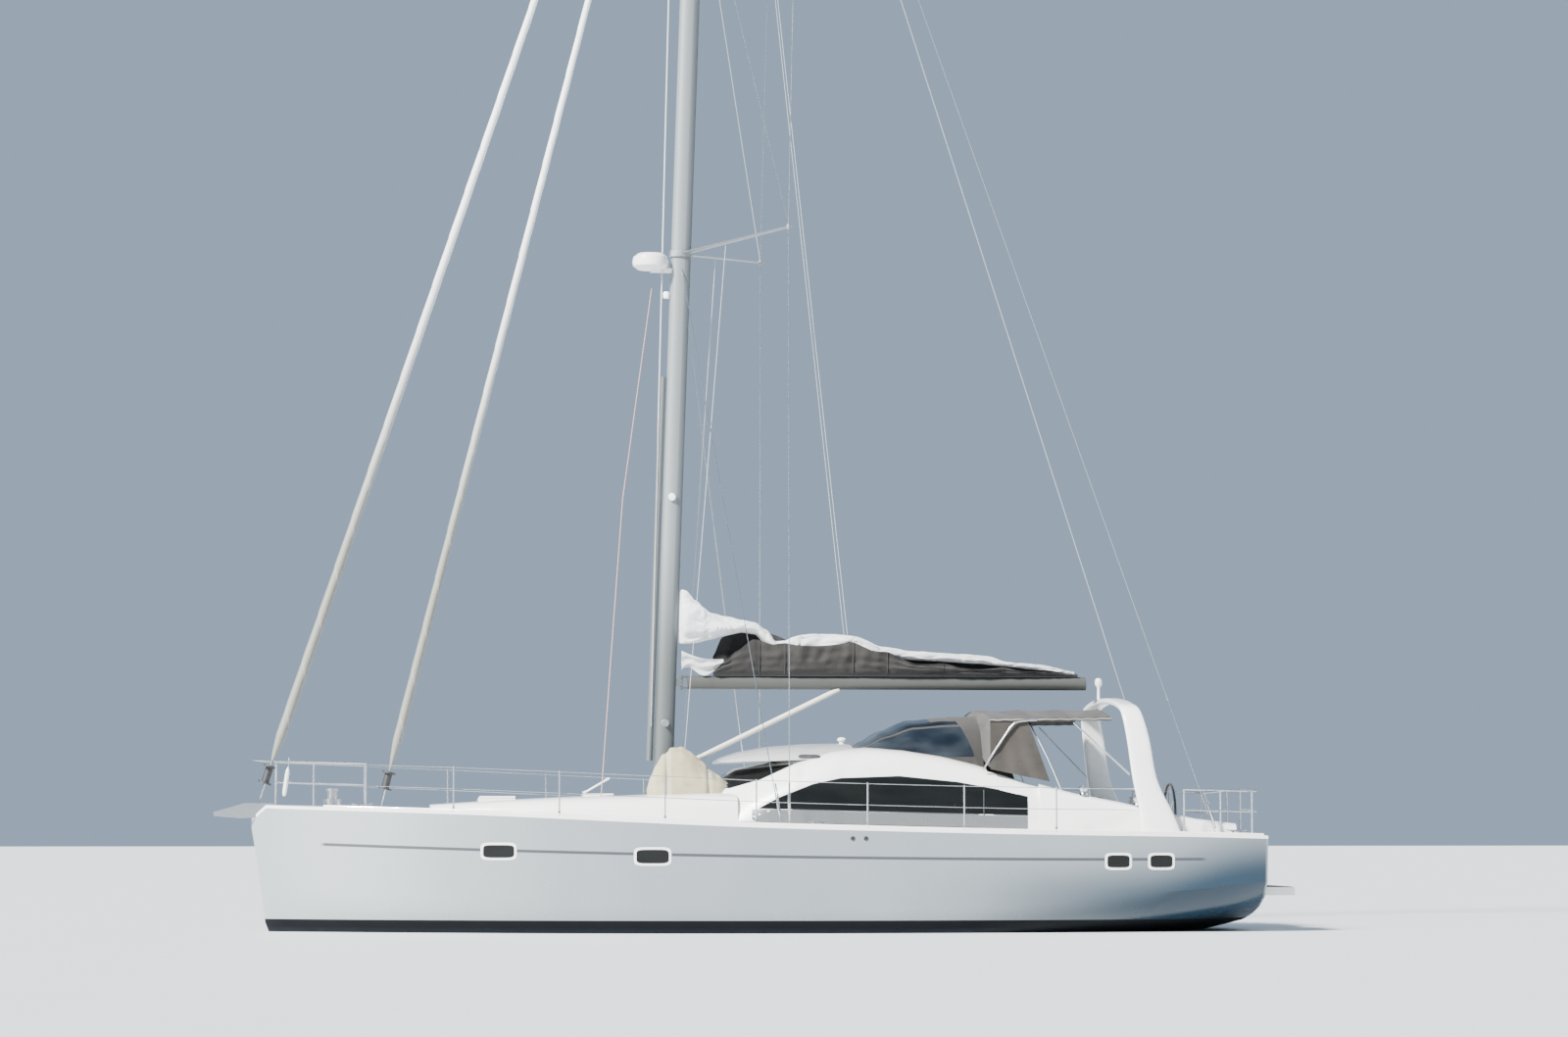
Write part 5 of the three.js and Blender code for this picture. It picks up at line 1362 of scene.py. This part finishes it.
# %% Straps that hold the bag up
straps = bmesh.new()
for x in STRAPS:
    v = (x - BAG_AFT) / BAG_LENGTH
    for end in (0, 1):
        path = [bag_point(abs(end - i / 40), v) for i in range(19)]
        out = Vector((0, (1 - 2 * end) * 0.006, 0.0))
        tube([point + out for point in path], 0.008, 6, shape=straps)
finished(straps, "bag_straps", PAINTED_SHADE_LINING, "boom")

# %% [markdown]
# ## The bundle at the mast foot
# A folded cover is lashed down beside the mast: high against the mast, and sloping away aft. Its
# outline comes from a table, its creases from noise, and two lashings pull it in.

# %% Bundle
BUNDLE_AFT, BUNDLE_LENGTH, BUNDLE_Y, BUNDLE_FLOOR = 0.50, 1.265, 0.72, 1.985
BUNDLE = [  # x, half width, height
    (0.500, 0.04, 0.05), (0.54, 0.10, 0.16), (0.72, 0.19, 0.31), (0.95, 0.235, 0.49),
    (1.14, 0.245, 0.61), (1.26, 0.245, 0.68), (1.42, 0.24, 0.68), (1.53, 0.22, 0.60),
    (1.63, 0.19, 0.46), (1.71, 0.14, 0.28), (1.765, 0.06, 0.08),
]
LASHINGS = (0.86, 1.47)


def bundle_point(u, v):
    x = BUNDLE_AFT + BUNDLE_LENGTH * v
    half, height = row_at(BUNDLE, x)
    angle = math.tau * u
    out, up = math.sin(angle), -math.cos(angle)
    rise = max(up, 0) ** 0.9
    slope = (x - 1.15) * 0.8
    folds = math.sin((rise * 9 + slope * 7) + rough((x, out, up), 2.2, 3.0)) * 0.016
    lump = rough((x, out * 0.4, up * 0.5), 3.0, 0.09) + rough((x, out, up), 8.0, 0.025) + folds
    pull = sum(math.exp(-(((x - place) / 0.028) ** 2)) for place in LASHINGS)
    y = out * (half * (1 - 0.16 * pull) + lump * 0.6 * rise)
    z = height * rise * (1 - 0.05 * pull) + lump * rise * 0.7
    return Vector((x, BUNDLE_Y + y, BUNDLE_FLOOR + max(z, 0.0)))


bundle = closed_sheet(88, 96, bundle_point)
bundle = finished(bundle, "mast_foot_bundle", CREAM, angle=80)
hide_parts("sail_bundle")

# %% Lashings
lashings = bmesh.new()
for place in LASHINGS:
    v = (place - BUNDLE_AFT) / BUNDLE_LENGTH
    over = [bundle_point(0.25 + i / 48, v) + Vector((0, 0, 0.004)) for i in range(25)]
    tube(over, 0.007, 6, shape=lashings)
finished(lashings, "bundle_lashings", ROPE)
print("bundle ready")

# %% [markdown]
# ## Sprayhood
# The hood is one sheet bent over two hoops. Its hems, roof and aft band are canvas and the rest is
# clear vinyl, so the faces of one grid are shared out between the two finishes. The canvas of the
# aft band begins on a slant, and the grid's rows follow that slant, so its edge is clean.

# %% Hood sheet
HOOD_FRONT, HOOD_LENGTH, HOOD_BASE, HOOD_POWER = -1.33, 1.80, 2.25, 2.8
HOOD = [  # x, half width, crown
    (-1.33, 0.76, 2.715), (-1.48, 0.96, 2.80), (-1.75, 1.12, 2.95), (-2.15, 1.21, 3.105),
    (-2.6, 1.24, 3.16), (-3.145, 1.25, 3.175),
]
BAND_SHARE = 0.8  # where the aft band begins, as a share of the grid's rows


def hood_point(u, v, proud=0.0):
    band_edge = BAND_SHARE + 0.17 * (1 - math.sin(math.pi * u))
    if v < BAND_SHARE:
        along = v / BAND_SHARE * band_edge
    else:
        along = band_edge + (v - BAND_SHARE) / (1 - BAND_SHARE) * (1 - band_edge)
    x = HOOD_FRONT - HOOD_LENGTH * along
    half, crown = row_at(HOOD, x)
    angle = math.pi * u
    across, up = math.cos(angle), math.sin(angle)
    y = (half - 0.012 + proud) * power(across, 2 / HOOD_POWER)
    z = HOOD_BASE + (crown - 0.012 + proud - HOOD_BASE) * up ** (2 / HOOD_POWER)
    hollow = 0.014 * math.sin(math.pi * min(1, max(0, (v - 0.42) / 0.55))) * up
    z += rough((x, y, 0), 3.0, 0.010) * up - hollow
    return Vector((x, y, max(z, top(HOUSE, x, y) + 0.006)))


def hood_is_canvas(u, v):
    """Where the hood is canvas: aft band, hems, roof, and the strap between its windows."""
    if v > BAND_SHARE or v < 0.04 or u < 0.067 or u > 0.933:
        return True
    if v > 0.60 and 0.36 < u < 0.64:
        return True
    return abs(u - 0.29) < 0.011 or abs(u - 0.71) < 0.011


hood = sheet(90, 55, hood_point)
for face in hood.faces:
    uv = [loop[hood.loops.layers.uv.active].uv for loop in face.loops]
    u, v = (sum(corner[k] for corner in uv) / len(uv) for k in (0, 1))
    face.material_index = 0 if hood_is_canvas(u, v) else 1
hood = fabric(hood, "sprayhood_cloth", [TAUPE, VINYL], "yacht", 3.2, 0.004, held="stretched",
              rests_on=["deckhouse"], stands_for="sprayhood", slot="hood_window", angle=60)
hood.modifiers["cloth"].offset = -1

# %% Hems, hoops and light tubes
LIGHT_TUBE = [  # x, y, z on the port side
    (-3.08, 1.57, 2.36), (-3.187, 1.60, 2.54), (-3.35, 1.617, 2.79), (-3.50, 1.622, 3.00),
    (-3.60, 1.62, 3.055), (-3.86, 1.615, 3.075),
]
hoops, hems = bmesh.new(), bmesh.new()
for v in (0.40, 0.985):
    tube([hood_point(i / 40, v, -0.022) for i in range(2, 39)], 0.0125, 8, shape=hoops)
for side in (1, -1):
    bent = [(x, side * y, z) for x, y, z in LIGHT_TUBE]
    tube([flowing(bent, i / 24) for i in range(25)], 0.0165, 10, shape=hoops)
finished(hoops, "hood_hoops", STEEL)
for v in (0.012, BAND_SHARE, 0.992):
    tube([hood_point(i / 60, v, 0.003) for i in range(61)], 0.007, 6, shape=hems)
finished(hems, "hood_hems", TAUPE)

# %% [markdown]
# ## Awning over the cockpit
# The awning is one taut sheet with short doubled edges, and a curtain hangs at each side. It sags a
# little between its bows. A panel carries its cloth on forward to the hood's aft edge, and struts
# prop its frame from the arch.

# %% Awning
AWNING_FRONT, AWNING_LENGTH, AWNING_HALF = -3.175, 1.79, 1.594
FLAT_SHARE = 0.965  # the rest of the half width is the edge that hangs down


def bimini_point(u, v):
    x = AWNING_FRONT - AWNING_LENGTH * v
    c = 2 * u - 1
    flat = min(1, abs(c) / FLAT_SHARE)
    drop = max(0, (abs(c) - FLAT_SHARE) / (1 - FLAT_SHARE))
    level = 3.10 + 0.155 * (1 - flat**2.2) + 0.02 * (v - 0.5)
    sag = 0.012 * math.sin(math.pi * v * 3) ** 2 * (1 - flat**6)
    tuck = rough((x, c * 1.6, 0), 2.5, 0.012) + 0.004 * math.sin(x * 31) * flat**8
    return Vector((x, AWNING_HALF * math.copysign(flat, c), level - sag + tuck - 0.040 * drop))


fabric(sheet(72, 60, bimini_point), "bimini_top", TAUPE, "yacht", AWNING_LENGTH, 0.004,
       held="stretched", rests_on=["bimini_hoop"], stands_for="bimini")
seams, tapes = bmesh.new(), bmesh.new()
for v in (0.008, 0.33, 0.66, 0.992):
    tube([bimini_point(0.02 + 0.96 * i / 60, v) for i in range(61)], 0.0065, 6, shape=seams)
finished(seams, "bimini_seams", TAUPE)
for u in (0.010, 0.990):
    tube([bimini_point(u, i / 50) for i in range(51)], 0.012, 8, shape=tapes)
finished(tapes, "bimini_edge_tape", EDGE_TAPE)


# %% Side curtains
def curtain_point(side):
    def place(u, v):
        low_x, high_x = -3.18 - 0.88 * u, -3.18 - 0.56 * u
        x = low_x + (high_x - low_x) * v
        low = 2.36 - 0.18 * u
        z = low + (3.045 - low) * v
        pleat = 0.012 * math.sin(u * 17 + 1.5 * v) * (1 - v) + rough((x, 0, z), 3, 0.012)
        return Vector((x, side * (1.584 + pleat), z))

    return place


for name, side in SIDES.items():
    fabric(sheet(36, 36, curtain_point(side)), "curtain_" + name, CURTAIN_CLOTH, "yacht", 0.72,
           held="hung", rests_on=["bimini_top"], stands_for="bimini")


# %% Panel between the hood and the awning
def link_point(u, v):
    """From the hood's aft edge, v = 0, out to the curtains and the awning's front edge, v = 1."""
    inner = hood_point(0.06 + 0.88 * u, 0.985, 0.004)
    c = 2 * u - 1
    if abs(c) > 0.72:
        share = (abs(c) - 0.72) / 0.28
        outer = Vector((-3.178, -math.copysign(1.588, c), 3.045 - 0.66 * share))
    else:
        outer = bimini_point(0.5 - 0.5 * c / 0.72 * 0.975, 0.004)
    point = inner.lerp(outer, v)
    return point + Vector((0.012 * math.sin(math.pi * v) + rough(point, 3, 0.01), 0, 0))


fabric(sheet(90, 12, link_point), "hood_link_panel", CURTAIN_CLOTH, "yacht", 4.6,
       held="stretched", rests_on=["sprayhood_cloth"], angle=60)

# %% Struts
struts = bmesh.new()
for side in (1, -1):
    tube([(-4.41, side * 1.57, 3.04), (-5.19, side * 1.80, 2.28)], 0.012, 8, shape=struts)
finished(struts, "bimini_struts", STEEL)

# %% [markdown]
# ## Floor
# The floor lies at the waterline, so the underbody is below it as it would be afloat.

# %% Floor
water = bmesh.new()
bmesh.ops.create_grid(water, x_segments=2, y_segments=2, size=220)
ground = Finish("floor", (0.62, 0.64, 0.65), 0.5)
ground.give("Base Color", ground.mix(ground.cloud(0.5), (0.60, 0.62, 0.63), (0.64, 0.66, 0.67)))
mesh = bpy.data.meshes.new("floor")
water.to_mesh(mesh)
water.free()
mesh.materials.append(ground.material)
floor = bpy.data.objects.new("floor", mesh)
show(floor)
